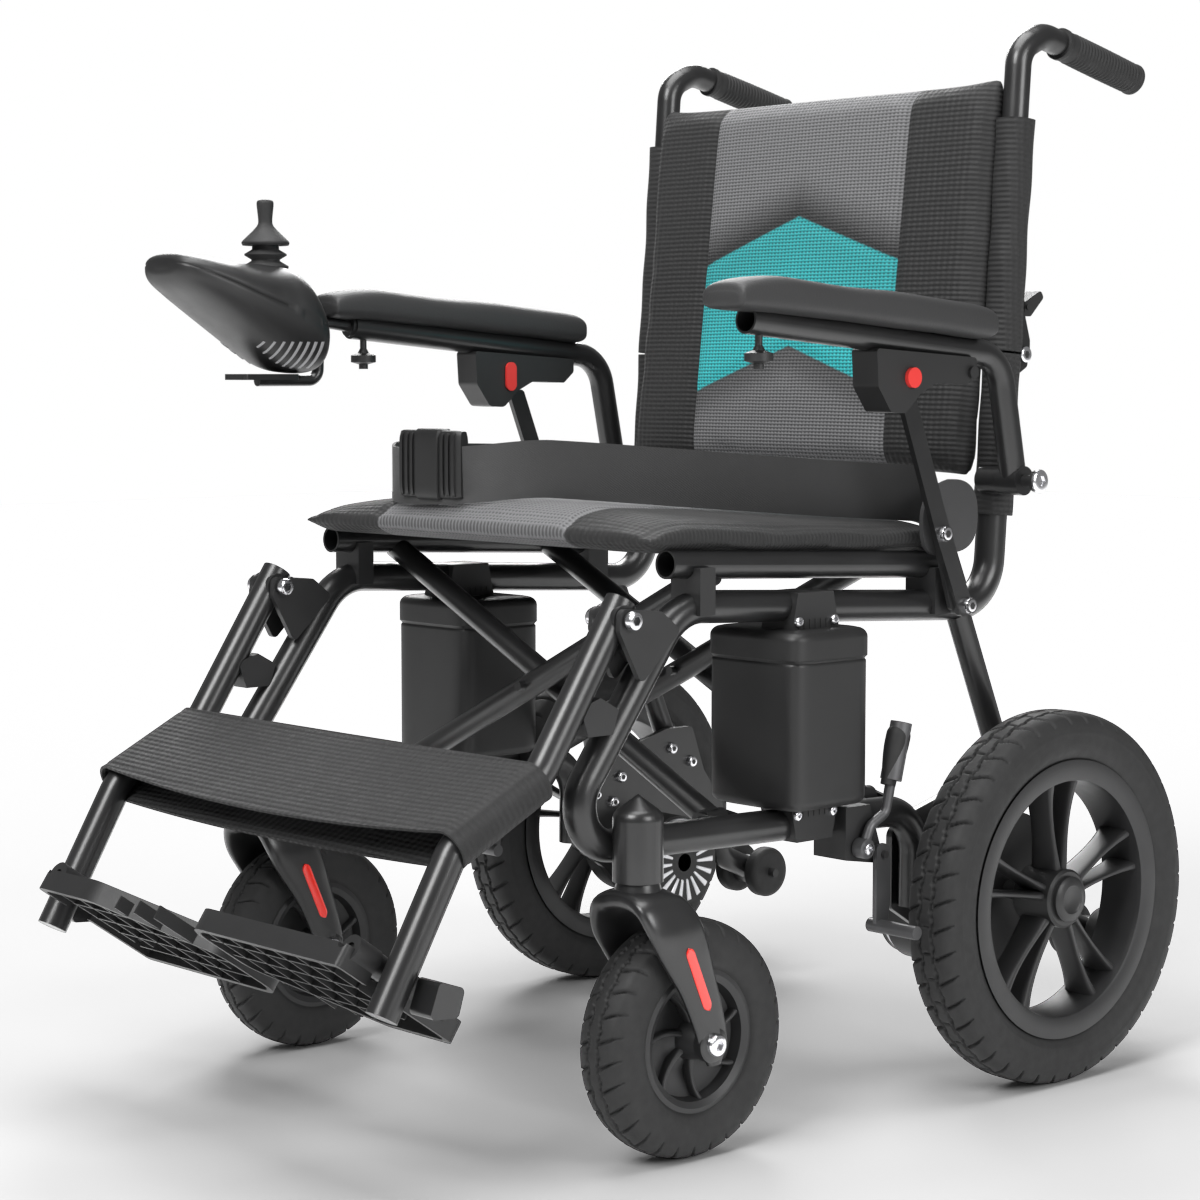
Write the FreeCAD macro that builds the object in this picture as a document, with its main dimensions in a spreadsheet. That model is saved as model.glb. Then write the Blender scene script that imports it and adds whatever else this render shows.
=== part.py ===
"""Folding power wheelchair, as a parametric document of bodies.

The chair faces -Y, +X is its user's left, +Z is up and the floor is z = 0. Every y in the sheet is
measured from the middle of the side frame, and origin_y moves the whole chair so that its footprint is
centred on the origin.
"""
import FreeCAD, Part
import math
import os

import Sketcher

LEFT = 1
RIGHT = -1
SIDES = ((LEFT, "left"), (RIGHT, "right"))

# The driving dimensions, in millimetres and degrees. Those that end in _y or _z are places.
SIZES = {
    "origin_y": 60.4,
    # side frame: one bent tube from the back hinge round to the axle plate
    "frame_x": 212.0, "frame_radius": 12.5, "frame_wall": 1.8,
    "post_top_y": 193.4, "post_top_z": 596.0, "post_foot_y": 178.6, "post_foot_z": 394.4, "post_bend": 40.0,
    "rail_front_y": -182.0, "rail_front_z": 413.0, "rail_bend": 50.0,
    "nose_y": -310.0, "nose_z": 240.0, "nose_bend": 32.0,
    "neck_y": 90.0, "neck_z": 231.0, "neck_bend": 37.0, "neck_foot_z": 150.0,
    "stay_top_y": 140.0, "stay_top_z": 394.0, "stay_foot_y": 209.0, "stay_foot_z": 238.0, "stay_radius": 10.0,
    # caster
    "caster_x_step": 26.0, "stem_y": -245.0, "caster_axle_y": -200.0, "caster_radius": 90.7,
    "housing_radius": 19.0, "housing_foot_z": 215.0, "housing_top_z": 266.0, "stem_radius": 10.0,
    "collar_radius": 15.5, "crown_top_z": 209.0, "crown_foot_z": 194.0, "fork_half_width": 36.0,
    "fork_thickness": 7.5, "caster_width": 45.0, "caster_rim_radius": 54.0, "caster_axle_radius": 5.0,
    "caster_hub_radius": 13.0, "caster_hub_width": 54.0,
    # rear wheel
    "wheel_x_step": 65.5, "axle_y": 184.6, "wheel_radius": 155.0, "tyre_width": 50.0, "rim_radius": 115.0,
    "rim_inner_radius": 98.0, "rim_width": 44.0, "hub_radius": 24.5, "hub_width": 40.0, "cap_radius": 19.0,
    "spoke_width": 5.5, "spoke_depth": 26.0, "spoke_angle": 9.0, "shaft_radius": 8.0,
    # axle plate, drive and anti-tip wheels
    "plate_thickness": 6.0, "gearbox_radius": 65.0, "gearbox_width": 35.5, "motor_radius": 43.0,
    "motor_y": 166.0, "motor_z": 130.0, "motor_length": 43.0, "motor_cap_length": 10.0,
    "tip_arm_radius": 11.0, "tip_axle_y": 324.0, "tip_axle_z": 96.0, "tip_wheel_radius": 24.0,
    "tip_wheel_width": 16.0, "tip_wheel_gap": 25.5,
    # folding cross frame
    "pivot_x_step": -24.0, "pivot_z": 241.0, "bar_radius": 10.0, "bar_gap": 23.0, "front_bar_y": -143.0,
    "rear_bar_y": 28.0, "barrel_radius": 9.0, "barrel_length": 21.0, "lug_thickness": 3.0,
    "seat_tube_x_step": -2.0, "seat_tube_radius": 11.0, "seat_tube_wall": 1.5, "bar_top_z": 436.5,
    "front_saddle_y": -164.0, "rear_saddle_y": 107.0,
    "seat_front_y": -191.0, "seat_front_z": 445.4, "seat_rear_y": 118.0, "seat_rear_z": 431.4,
    # battery boxes
    "battery_x_step": -12.5, "battery_width": 103.0, "battery_front_y": -92.0, "battery_rear_y": -2.0,
    "battery_foot_z": 249.0, "battery_top_z": 389.5,
    # legrest
    "hanger_x_step": 5.0, "hanger_radius": 12.0, "legrest_pivot_y": -250.0, "legrest_pivot_z": 408.0,
    "hanger_top_y": -243.0, "hanger_top_z": 421.0, "knee_y": -325.0, "knee_z": 296.0,
    "shin_y": -402.0, "shin_z": 257.0, "hanger_foot_y": -468.0, "hanger_foot_z": 143.0,
    "strap_half_length_step": 19.0, "strap_thickness": 3.0,
    "plate_tilt": 35.0, "plate_hinge_y": -452.0, "plate_hinge_z": 163.0, "plate_band": 17.0,
    "plate_outer_x_step": -13.0, "plate_inner_x": 10.5, "plate_depth": 128.0, "flip_x_step": -19.0, "flip_rise": 8.5,
    "knuckle_half": 12.0, "barrel_middle": 14.0,
    # arms
    "arm_x_step": 33.0, "arm_radius": 11.0, "arm_wall": 1.8, "arm_front_y": -142.0, "arm_front_z": 629.0,
    "arm_rear_y": 150.5, "arm_rear_z": 603.3, "arm_bend": 35.0, "arm_pivot_y": 172.0, "arm_pivot_z": 500.0,
    "pad_x_step": 36.5, "pad_width": 44.0, "pad_front_y": -171.0, "pad_rear_y": 122.0,
    "lock_width": 27.0, "button_y": 30.0, "button_z": 585.0, "button_travel": 3.0,
    "strut_x_step": 28.0, "strut_thickness": 5.0, "strut_width": 17.0, "catch_y": 43.0, "catch_z": 564.0,
    "strut_knee_y": 88.0, "strut_knee_z": 459.0, "strut_foot_y": 119.0, "strut_foot_z": 399.0,
    "knob_y": -128.0,
    # back
    "hinge_y": 209.5, "hinge_z": 604.0, "cane_radius": 11.0, "cane_foot_z": 615.0,
    "cane_top_z": 858.0, "crook_y": 241.0, "crook_z_step": 14.0, "grip_end_y": 366.0, "grip_end_z_step": -14.5,
    "grip_radius": 14.0, "grip_length": 104.0, "back_foot_y": 150.0, "back_foot_z": 499.0,
    "back_top_y": 189.0, "back_top_z_step": -20.0, "back_half_width_step": -1.0,
    "back_split": 3.0, "knuckle_width": 16.0, "cheek_thickness": 3.0,
    # seat
    "seat_half_width_step": 12.0, "seat_edge_height": 15.0, "seat_crown_height": 33.0,
    "cushion_front_y": -220.0, "cushion_rear_y": 135.0,
    # brake
    "brake_x_step": 29.5, "brake_pivot_y": -4.0, "brake_pivot_z": 212.0, "shoe_pivot_y": 12.0,
    "shoe_pivot_z": 205.0,
    # controller
    "pod_y": -266.0, "pod_half_width": 52.0, "pod_foot_z": 588.0, "stick_y": -232.0, "stick_z": 668.0,
    "stick_top_z": 736.0,
    # clearances
    "soft_gap": 0.5, "running_gap": 0.05, "moving_gap": 0.4,
}


class Size:
    """A length or an angle: its value now, and the sheet expression that gives it."""

    def __init__(self, value, text):
        self.value = float(value)
        self.text = text

    def joined(self, other, sign, value):
        return Size(value, "(" + self.text + " " + sign + " " + text_of(other) + ")")

    def __add__(self, other):
        return self.joined(other, "+", self.value + number(other))

    def __sub__(self, other):
        return self.joined(other, "-", self.value - number(other))

    def __mul__(self, other):
        return self.joined(other, "*", self.value * number(other))

    def __truediv__(self, other):
        return self.joined(other, "/", self.value / number(other))

    def __radd__(self, other):
        return Size(number(other), text_of(other)) + self

    def __rsub__(self, other):
        return Size(number(other), text_of(other)) - self

    def __rmul__(self, other):
        return Size(number(other), text_of(other)) * self

    def __neg__(self):
        return Size(-self.value, "(0 - " + self.text + ")")


def number(size):
    return size.value if isinstance(size, Size) else float(size)


def text_of(size):
    return size.text if isinstance(size, Size) else "(" + repr(float(size)) + ")"


def bind(owner, name, size):
    """Sets a property from a size, and leaves it bound to the sheet."""
    owner.setExpression(name, text_of(size))


def along(start, end, share):
    """The point a share of the way from start to end, both (y, z)."""
    return (start[0] + (end[0] - start[0]) * share, start[1] + (end[1] - start[1]) * share)


def height_on(start, end, y):
    """The z at which the line from start to end, both (y, z), passes y."""
    return start[1] + (end[1] - start[1]) * (y - start[0]) / (end[0] - start[0])


def make_sheet(document):
    """Writes the driving dimensions to the sheet and returns one Size for each."""
    sheet = document.addObject("Spreadsheet::Sheet", "Sizes")
    sizes = {}
    for row, (name, value) in enumerate(SIZES.items(), start=1):
        cell = "B" + str(row)
        sheet.set("A" + str(row), name)
        sheet.set(cell, str(value))
        sheet.setAlias(cell, name)
        sizes[name] = Size(value, "<<Sizes>>." + name)
    document.recompute()
    return sizes


DOCUMENT = FreeCAD.newDocument("PowerWheelchair")
D = make_sheet(DOCUMENT)

# Places that go with another place, by a step of their own.
FOLLOWING = {
    "frame_x": ("caster_x", "wheel_x", "battery_x", "hanger_x", "arm_x", "strut_x", "brake_x", "pad_x",
        "seat_tube_x", "pivot_x", "back_half_width", "seat_half_width", "plate_outer_x", "flip_x",
        "strap_half_length"),
    "cane_top_z": ("crook_z", "grip_end_z", "back_top_z"),
}
for leader, followers in FOLLOWING.items():
    for follower in followers:
        D[follower] = D[leader] + D[follower + "_step"]


def corner_arc(before, corner, after, radius):
    """The tangent points and the centre of a corner's arc."""
    back = (before - corner).normalize()
    ahead = (after - corner).normalize()
    half = back.getAngle(ahead) / 2
    reach = radius / math.tan(half)
    middle = (back + ahead).normalize()
    return corner + back * reach, corner + ahead * reach, corner + middle * (radius / math.sin(half))


def place_point(limits, geometry, position, corner):
    """Ties a point of a sketch to its two coordinates."""
    for kind, size in (("DistanceX", corner[0]), ("DistanceY", corner[1])):
        limits.append((Sketcher.Constraint(kind, -1, 1, geometry, position, number(size)), size))


def draw_chain(sketch, corners, closed):
    """Draws straight runs through the corners (u, v, radius), with a tangent arc where there is a radius."""
    points = [FreeCAD.Vector(number(c[0]), number(c[1]), 0) for c in corners]
    radii = [c[2] if len(c) > 2 else 0.0 for c in corners]
    count = len(corners)
    arcs = {}
    for index in range(count):
        inside = closed or 0 < index < count - 1
        if inside and number(radii[index]) > 0:
            around = (points[index - 1], points[index], points[(index + 1) % count])
            arcs[index] = corner_arc(*around, number(radii[index]))
    limits = []
    lines = []
    for index in range(count if closed else count - 1):
        after = (index + 1) % count
        start = arcs[index][1] if index in arcs else points[index]
        end = arcs[after][0] if after in arcs else points[after]
        lines.append(sketch.addGeometry(Part.LineSegment(start, end), False))
    for index in range(count):
        before = lines[index - 1] if closed or index > 0 else None
        after = lines[index] if index < len(lines) else None
        if index in arcs:
            add_arc(sketch, limits, (before, after), points[index], arcs[index], (corners[index], radii[index]))
        elif after is not None:
            place_point(limits, after, 1, corners[index])
            if before is not None:
                limits.append((Sketcher.Constraint("Coincident", before, 2, after, 1), None))
        else:
            place_point(limits, before, 2, corners[index])
    add_limits(sketch, limits)


def add_arc(sketch, limits, lines, point, arc, corner):
    """Adds the arc of one rounded corner, tangent to the runs before and after it."""
    start, end, centre = arc
    first = math.atan2(start.y - centre.y, start.x - centre.x)
    last = math.atan2(end.y - centre.y, end.x - centre.x)
    turns_left = (point - start).cross(end - point).z > 0
    circle = Part.Circle(centre, FreeCAD.Vector(0, 0, 1), number(corner[1]))
    span = (first, last) if turns_left else (last, first)
    curve = sketch.addGeometry(Part.ArcOfCircle(circle, *span), False)
    mark = sketch.addGeometry(Part.Point(point), True)
    ends = (1, 2) if turns_left else (2, 1)
    limits.append((Sketcher.Constraint("Tangent", lines[0], 2, curve, ends[0]), None))
    limits.append((Sketcher.Constraint("Tangent", curve, ends[1], lines[1], 1), None))
    limits.append((Sketcher.Constraint("Radius", curve, number(corner[1])), corner[1]))
    place_point(limits, mark, 1, corner[0])
    limits.append((Sketcher.Constraint("PointOnObject", mark, 1, lines[0]), None))
    limits.append((Sketcher.Constraint("PointOnObject", mark, 1, lines[1]), None))


def add_limits(sketch, limits):
    """Adds the constraints to the sketch and binds those that have a size."""
    first = sketch.ConstraintCount
    sketch.addConstraint([limit for limit, size in limits])
    for index, (limit, size) in enumerate(limits, start=first):
        if isinstance(size, Size):
            bind(sketch, "Constraints[" + str(index) + "]", size)


def draw_circles(sketch, circles):
    """Draws circles (u, v, radius)."""
    limits = []
    for circle in circles:
        centre = FreeCAD.Vector(number(circle[0]), number(circle[1]), 0)
        shape = Part.Circle(centre, FreeCAD.Vector(0, 0, 1), number(circle[2]))
        geometry = sketch.addGeometry(shape, False)
        limits.append((Sketcher.Constraint("Radius", geometry, number(circle[2])), circle[2]))
        place_point(limits, geometry, 3, circle)
    add_limits(sketch, limits)


PIECES = []


class Piece:
    """One sub-part: a body, made by features whose sketches lie on its origin planes.

    A sketch on the YZ plane has (y, z), one on XZ has (x, z) and one on XY has (x, y). The level is
    the x, y or z that the plane is moved to.
    """

    def __init__(self, label, y=0.0, z=0.0, tilt=None):
        self.body = DOCUMENT.addObject("PartDesign::Body", label)
        self.body.Label = label
        bind(self.body, "Placement.Base.y", D["origin_y"] + y)
        bind(self.body, "Placement.Base.z", z)
        if tilt is not None:
            self.body.Placement.Rotation = FreeCAD.Rotation(FreeCAD.Vector(1, 0, 0), number(tilt))
            bind(self.body, "Placement.Rotation.Angle", tilt)
        PIECES.append(self.body)

    def sketch(self, plane, level, u=0.0, v=0.0):
        sketch = self.body.newObject("Sketcher::SketchObject", "Sketch")
        planes = {feature.Role: feature for feature in self.body.Origin.OriginFeatures}
        sketch.AttachmentSupport = (planes[plane + "_Plane"], [""])
        sketch.MapMode = "FlatFace"
        bind(sketch, "AttachmentOffset.Base.x", u)
        bind(sketch, "AttachmentOffset.Base.y", v)
        bind(sketch, "AttachmentOffset.Base.z", -1.0 * level if plane == "XZ" else level)
        return sketch

    def feature(self, kind, sketch, cut):
        names = {"pad": ("Pad", "Pocket"), "turn": ("Revolution", "Groove"),
                 "pipe": ("AdditivePipe", "SubtractivePipe"), "loft": ("AdditiveLoft", "SubtractiveLoft")}
        feature = self.body.newObject("PartDesign::" + names[kind][1 if cut else 0], kind)
        feature.Profile = sketch
        return feature

    def pad(self, sketch, length, cut=False):
        """Pads or cuts a sketch, half of the length each way."""
        feature = self.feature("pad", sketch, cut)
        feature.SideType = "Symmetric"
        bind(feature, "Length", length)
        return feature

    def plate(self, plane, level, thickness, corners, cut=False):
        """A flat piece with this outline, centred on the level."""
        sketch = self.sketch(plane, level)
        draw_chain(sketch, corners, True)
        return self.pad(sketch, thickness, cut)

    def rods(self, plane, level, length, circles, cut=False):
        """Round bars or holes square to the plane, centred on the level."""
        sketch = self.sketch(plane, level)
        draw_circles(sketch, circles)
        return self.pad(sketch, length, cut)

    def turned(self, plane, level, centre, corners, axis="H_Axis", cut=False):
        """A turned piece: its outline is drawn from the centre, and spun about the sketch's own axis."""
        sketch = self.sketch(plane, level, centre[0], centre[1])
        draw_chain(sketch, corners, True)
        feature = self.feature("turn", sketch, cut)
        feature.ReferenceAxis = (sketch, [axis])
        feature.Angle = 360.0
        return feature

    def wheel(self, centre, corners, cut=False):
        """A piece turned about a line along X through the centre (y, z): its corners are (x, radius)."""
        return self.turned("XY", centre[1], (0.0, centre[0]), corners, "H_Axis", cut)

    def spindle(self, centre, corners, cut=False):
        """A piece turned about an upright line through the centre (x, y): its corners are (radius, z)."""
        return self.turned("XZ", centre[1], (centre[0], 0.0), corners, "V_Axis", cut)

    def tube(self, plane, level, corners, radius, bore=None, cut=False):
        """A round bar or tube along a path of straight runs and tangent arcs."""
        path = self.sketch(plane, level)
        draw_chain(path, corners, False)
        profile = self.body.newObject("Sketcher::SketchObject", "Section")
        profile.AttachmentSupport = (path, ["Edge1"])
        profile.MapMode = "NormalToEdge"
        profile.MapPathParameter = 0.0
        circles = [(0.0, 0.0, radius)] + ([(0.0, 0.0, bore)] if bore is not None else [])
        draw_circles(profile, circles)
        feature = self.feature("pipe", profile, cut)
        runs = sum(not path.getConstruction(index) for index in range(path.GeometryCount))
        feature.Spine = (path, ["Edge" + str(run + 1) for run in range(runs)])
        return feature

    def loft(self, plane, sections):
        """A smooth piece through closed outlines, each (level, corners)."""
        sketches = []
        for level, corners in sections:
            sketch = self.sketch(plane, level)
            draw_chain(sketch, corners, True)
            sketches.append(sketch)
        feature = self.feature("loft", sketches[0], False)
        feature.Sections = sketches[1:]
        return feature

    def repeat(self, feature, sketch_axis, count):
        """Repeats a feature evenly round an axis."""
        pattern = self.body.newObject("PartDesign::PolarPattern", "Pattern")
        pattern.Originals = [feature]
        pattern.Axis = sketch_axis
        pattern.Angle = 360.0
        pattern.Occurrences = count
        self.body.Tip = pattern
        return pattern


def box(low_u, high_u, low_v, high_v, radius=0.0):
    """The corners of a rectangle, rounded if a radius is given."""
    return [(low_u, low_v, radius), (high_u, low_v, radius), (high_u, high_v, radius), (low_u, high_v, radius)]


POST_TOP = (D["post_top_y"], D["post_top_z"])
POST_FOOT = (D["post_foot_y"], D["post_foot_z"])
RAIL_FRONT = (D["rail_front_y"], D["rail_front_z"])
NOSE = (D["nose_y"], D["nose_z"])
NECK = (D["neck_y"], D["neck_z"])
AXLE = (D["axle_y"], D["wheel_radius"])
CASTER_AXLE = (D["caster_axle_y"], D["caster_radius"])
SEAT_FRONT = (D["seat_front_y"], D["seat_front_z"])
SEAT_REAR = (D["seat_rear_y"], D["seat_rear_z"])
ARM_FRONT = (D["arm_front_y"], D["arm_front_z"])
ARM_REAR = (D["arm_rear_y"], D["arm_rear_z"])
ARM_PIVOT = (D["arm_pivot_y"], D["arm_pivot_z"])
LEGREST_PIVOT = (D["legrest_pivot_y"], D["legrest_pivot_z"])
KNEE = (D["knee_y"], D["knee_z"])
SHIN = (D["shin_y"], D["shin_z"])
HANGER_FOOT = (D["hanger_foot_y"], D["hanger_foot_z"])
TIP_AXLE = (D["tip_axle_y"], D["tip_axle_z"])
BACK_HINGE = (D["hinge_y"], D["hinge_z"])
BACK_FOOT = (D["back_foot_y"], D["back_foot_z"])
BACK_TOP = (D["back_top_y"], D["back_top_z"])
GRIP_END = (D["grip_end_y"], D["grip_end_z"])
CROOK = (D["crook_y"], D["crook_z"])
CATCH = (D["catch_y"], D["catch_z"])
STRUT_KNEE = (D["strut_knee_y"], D["strut_knee_z"])
STRUT_FOOT = (D["strut_foot_y"], D["strut_foot_z"])
BAR_ROWS = (D["front_bar_y"], D["rear_bar_y"])


def upper_rail_z(y):
    """The height of the upper rail's centre line at y."""
    return height_on(RAIL_FRONT, POST_FOOT, y)


def lower_rail_z(y):
    return height_on(NOSE, NECK, y)


def seat_tube_z(y):
    return height_on(SEAT_FRONT, SEAT_REAR, y)


def arm_z(y):
    return height_on(ARM_FRONT, ARM_REAR, y)


def frame_bar_rows(side):
    """The y of each cross bar whose foot is on this side, front and rear."""
    step = D["bar_gap"] if side == LEFT else 0.0
    return [row + step for row in BAR_ROWS]


def frame_path():
    """The centre line of the main frame tube, from the back hinge round to the axle plate."""
    return [POST_TOP, POST_FOOT + (D["post_bend"],), RAIL_FRONT + (D["rail_bend"],),
            NOSE + (D["nose_bend"],), NECK + (D["neck_bend"],), (D["neck_y"] - 1.0, D["neck_foot_z"])]


def post_y(z):
    """The y of the back post's centre line at height z."""
    return POST_FOOT[0] + (POST_TOP[0] - POST_FOOT[0]) * (z - POST_FOOT[1]) / (POST_TOP[1] - POST_FOOT[1])


def side_frame(side, name):
    """The bent main tube, with the rear stay, caster housing, fold lugs and arm boss welded on."""
    piece = Piece(name + "_side_frame")
    x = side * D["frame_x"]
    corners = frame_path()
    bore = D["frame_radius"] - D["frame_wall"]
    piece.tube("YZ", x, corners, D["frame_radius"])
    piece.tube("YZ", x, [(D["stay_top_y"], D["stay_top_z"]), (D["stay_foot_y"], D["stay_foot_z"])],
               D["stay_radius"])
    stem = (side * D["caster_x"], D["stem_y"])
    piece.spindle(stem, [(0.0, D["housing_foot_z"]), (D["housing_radius"], D["housing_foot_z"]),
                         (D["housing_radius"], D["housing_top_z"], 10.0), (0.0, D["housing_top_z"] + 14.0)])
    for row in frame_bar_rows(side):
        fold_lugs(piece, side, row)
    inner = D["frame_x"]
    outer = D["strut_x"] - D["strut_thickness"] * 1.5
    middle = (inner + outer) / 2
    piece.rods("YZ", side * middle, outer - inner, [ARM_PIVOT + (D["arm_radius"],)])
    piece.plate("YZ", x, D["knuckle_width"], hinge_knuckle())
    piece.rods("YZ", x, D["frame_radius"] * 4, [BACK_HINGE + (3.05,)], cut=True)
    piece.rods("YZ", side * D["arm_x"], D["arm_x"], [ARM_PIVOT + (5.05,)], cut=True)
    piece.tube("YZ", x, corners, bore, cut=True)
    piece.spindle(stem, box(0.0, D["stem_radius"] + D["running_gap"], D["housing_foot_z"] - 1.0,
                            D["housing_top_z"] - 4.0), cut=True)
    return piece


def fold_lugs(piece, side, row):
    """A pair of lugs on the lower rail that hold the foot of one cross bar."""
    spread = D["barrel_length"] / 2 + D["moving_gap"] + D["lug_thickness"] / 2
    for end in (-1, 1):
        rail = lower_rail_z(row)
        corners = [(side * (D["pivot_x"] - 8.0), D["pivot_z"] - 7.0, 6.0),
                   (side * D["frame_x"], rail - D["frame_radius"] + 4.0),
                   (side * D["frame_x"], rail + D["frame_radius"] - 3.0),
                   (side * (D["pivot_x"] - 8.0), D["pivot_z"] + 8.0, 6.0)]
        piece.plate("XZ", row + end * spread, D["lug_thickness"], corners)
    length = spread * 2 + D["lug_thickness"] + 2.0
    piece.rods("XZ", row, length, [(side * D["pivot_x"], D["pivot_z"], 4.05)], cut=True)


def hinge_knuckle():
    """The outline of the lower half of the back hinge, rounded about its pin."""
    y, z = BACK_HINGE
    post_y = D["post_top_y"]
    return [(y - 9.3, z - 20.0), (post_y, z - 44.0), (post_y - 4.0, z - 30.0), (post_y, z - 9.0),
            (y - 9.3, z - 9.0), (y - 9.3, z + 9.3, 9.2), (y + 9.3, z + 9.3, 9.2), (y + 9.3, z - 10.0, 4.0)]


def axle_plate(side, name):
    """The flat drive plate inside the side frame, with the anti-tip arm welded to it."""
    piece = Piece(name + "_axle_plate")
    level = D["frame_x"] - D["frame_radius"] - D["plate_thickness"] / 2
    y, z = AXLE
    corners = [(y - 108.0, z - 8.0, 6.0), (y - 108.0, z + 56.0, 8.0), (y - 84.0, z + 70.0, 8.0),
               (y + 8.0, z + 94.0, 6.0), (y + 42.0, z + 94.0, 6.0), (y + 58.0, z + 50.0, 8.0),
               (y + 86.0, z + 12.0, 10.0), (y + 70.0, z - 16.0, 10.0), (y + 40.0, z - 52.0, 12.0),
               (y - 44.0, z - 62.0, 12.0), (y - 72.0, z - 30.0, 12.0)]
    piece.plate("YZ", side * level, D["plate_thickness"], corners)
    arm_x = tip_arm_x()
    start = (y + 76.0, z + 2.0)
    path = [start, (y + 100.0, z - 42.0, 26.0), TIP_AXLE]
    piece.tube("YZ", side * arm_x, path, D["tip_arm_radius"])
    piece.rods("YZ", side * arm_x, D["tip_arm_radius"] * 2 + 1.0, [TIP_AXLE + (D["tip_arm_radius"] + 3.0,)])
    piece.rods("YZ", side * D["frame_x"], 80.0, [TIP_AXLE + (4.0,)], cut=True)
    shaft = D["shaft_radius"] + D["running_gap"]
    piece.rods("YZ", side * level, 20.0, [(y, z, shaft)], cut=True)
    return piece


def frame_fittings(side, name):
    """The brackets, clamps and bolts that are fastened to a side frame."""
    piece = Piece(name + "_frame_fittings")
    for y, width in ((D["front_saddle_y"], 16.0), (D["rear_saddle_y"], 24.0)):
        saddle(piece, side, y, width)
    battery_clamps(piece, side)
    legrest_bracket(piece, side)
    brake_bracket(piece, side)
    strut_spacer(piece, side)
    piece.tube("YZ", side * D["frame_x"], frame_path(), D["frame_radius"], cut=True)
    frame_bolts(piece, side)
    return piece


def saddle(piece, side, y, width):
    """A clip on the upper rail with a cradle on top that the seat tube drops into."""
    low = upper_rail_z(y) - 6.0
    corners = box(side * (D["frame_x"] - 16.0), side * (D["frame_x"] + 16.0), low, seat_tube_z(y) - 2.0)
    piece.plate("XZ", y, width, corners)
    front = y - width
    rear = y + width
    cradle = D["seat_tube_radius"] + D["moving_gap"]
    piece.tube("YZ", side * D["seat_tube_x"], [(front, seat_tube_z(front)), (rear, seat_tube_z(rear))],
               cradle, cut=True)


def battery_clamps(piece, side):
    """The ribbed clamps that hang the battery box between the two rails."""
    middle = (D["battery_front_y"] + D["battery_rear_y"]) / 2
    for line, face, reach in ((upper_rail_z, D["battery_top_z"], 12.0), (lower_rail_z, D["battery_foot_z"], -12.0)):
        top = line(middle) + reach
        corners = [(middle - 26.0, face), (middle + 26.0, face), (middle + 20.0, top), (middle - 20.0, top)]
        piece.plate("YZ", side * D["frame_x"], 34.0, corners)


def legrest_bracket(piece, side):
    """The triangular bracket on the slanted tube, and the clip that the hanger snaps into."""
    y, z = LEGREST_PIVOT
    corners = [(y - 9.0, z + 9.0, 6.0), (y + 32.0, z + 5.0, 4.0), (y + 52.0, z - 10.0, 4.0),
               (y + 12.0, z - 48.0, 4.0), (y - 10.0, z - 8.0, 6.0)]
    cheek = D["hanger_radius"] + D["moving_gap"]
    for end in (-1, 1):
        level = D["hanger_x"] + end * (cheek + 2.5)
        piece.plate("YZ", side * level, 5.0, corners)
    web = [(y + 26.0, z + 2.0), (y + 48.0, z - 9.0), (y + 22.0, z - 34.0), (y + 13.0, z - 24.0)]
    piece.plate("YZ", side * D["hanger_x"], cheek * 2, web)
    clip = [(y - 42.0, z - 62.0), (y - 22.0, z - 56.0), (y - 4.0, z - 66.0), (y - 10.0, z - 84.0),
            (y - 34.0, z - 84.0)]
    piece.plate("YZ", side * (D["hanger_x"] - 1.0), 22.0, clip)
    hanger_path = [(D["hanger_top_y"], D["hanger_top_z"]), KNEE]
    piece.tube("YZ", side * D["hanger_x"], hanger_path, cheek, cut=True)


def brake_bracket(piece, side):
    """The clamp on the lower rail that carries the brake lever and the shoe link."""
    y = D["brake_pivot_y"]
    rail = lower_rail_z(y)
    inner = D["frame_x"] - 11.0
    outer = D["brake_x"] - 6.0
    middle = (inner + outer) / 2
    corners = [(y - 14.0, rail + 12.0), (y + 14.0, rail + 12.0), (y + 26.0, rail - 22.0), (y + 22.0, rail - 36.0),
               (y - 14.0, rail - 30.0)]
    piece.plate("YZ", side * middle, outer - inner, corners)
    pins = [(y, D["brake_pivot_z"], 3.0), (D["shoe_pivot_y"] + 6.0, D["shoe_pivot_z"], 3.0)]
    piece.rods("YZ", side * (D["brake_x"] - 1.0), 12.0, pins)


def strut_spacer(piece, side):
    """The spacer under the strut's foot, whose inner end is cupped to the rail."""
    strut_face = D["strut_x"] - D["strut_thickness"] / 2
    rail_side = D["frame_x"] + D["frame_radius"] - 4.0
    piece.rods("YZ", side * (strut_face + rail_side) / 2, strut_face - rail_side, [STRUT_FOOT + (8.0,)])


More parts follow.
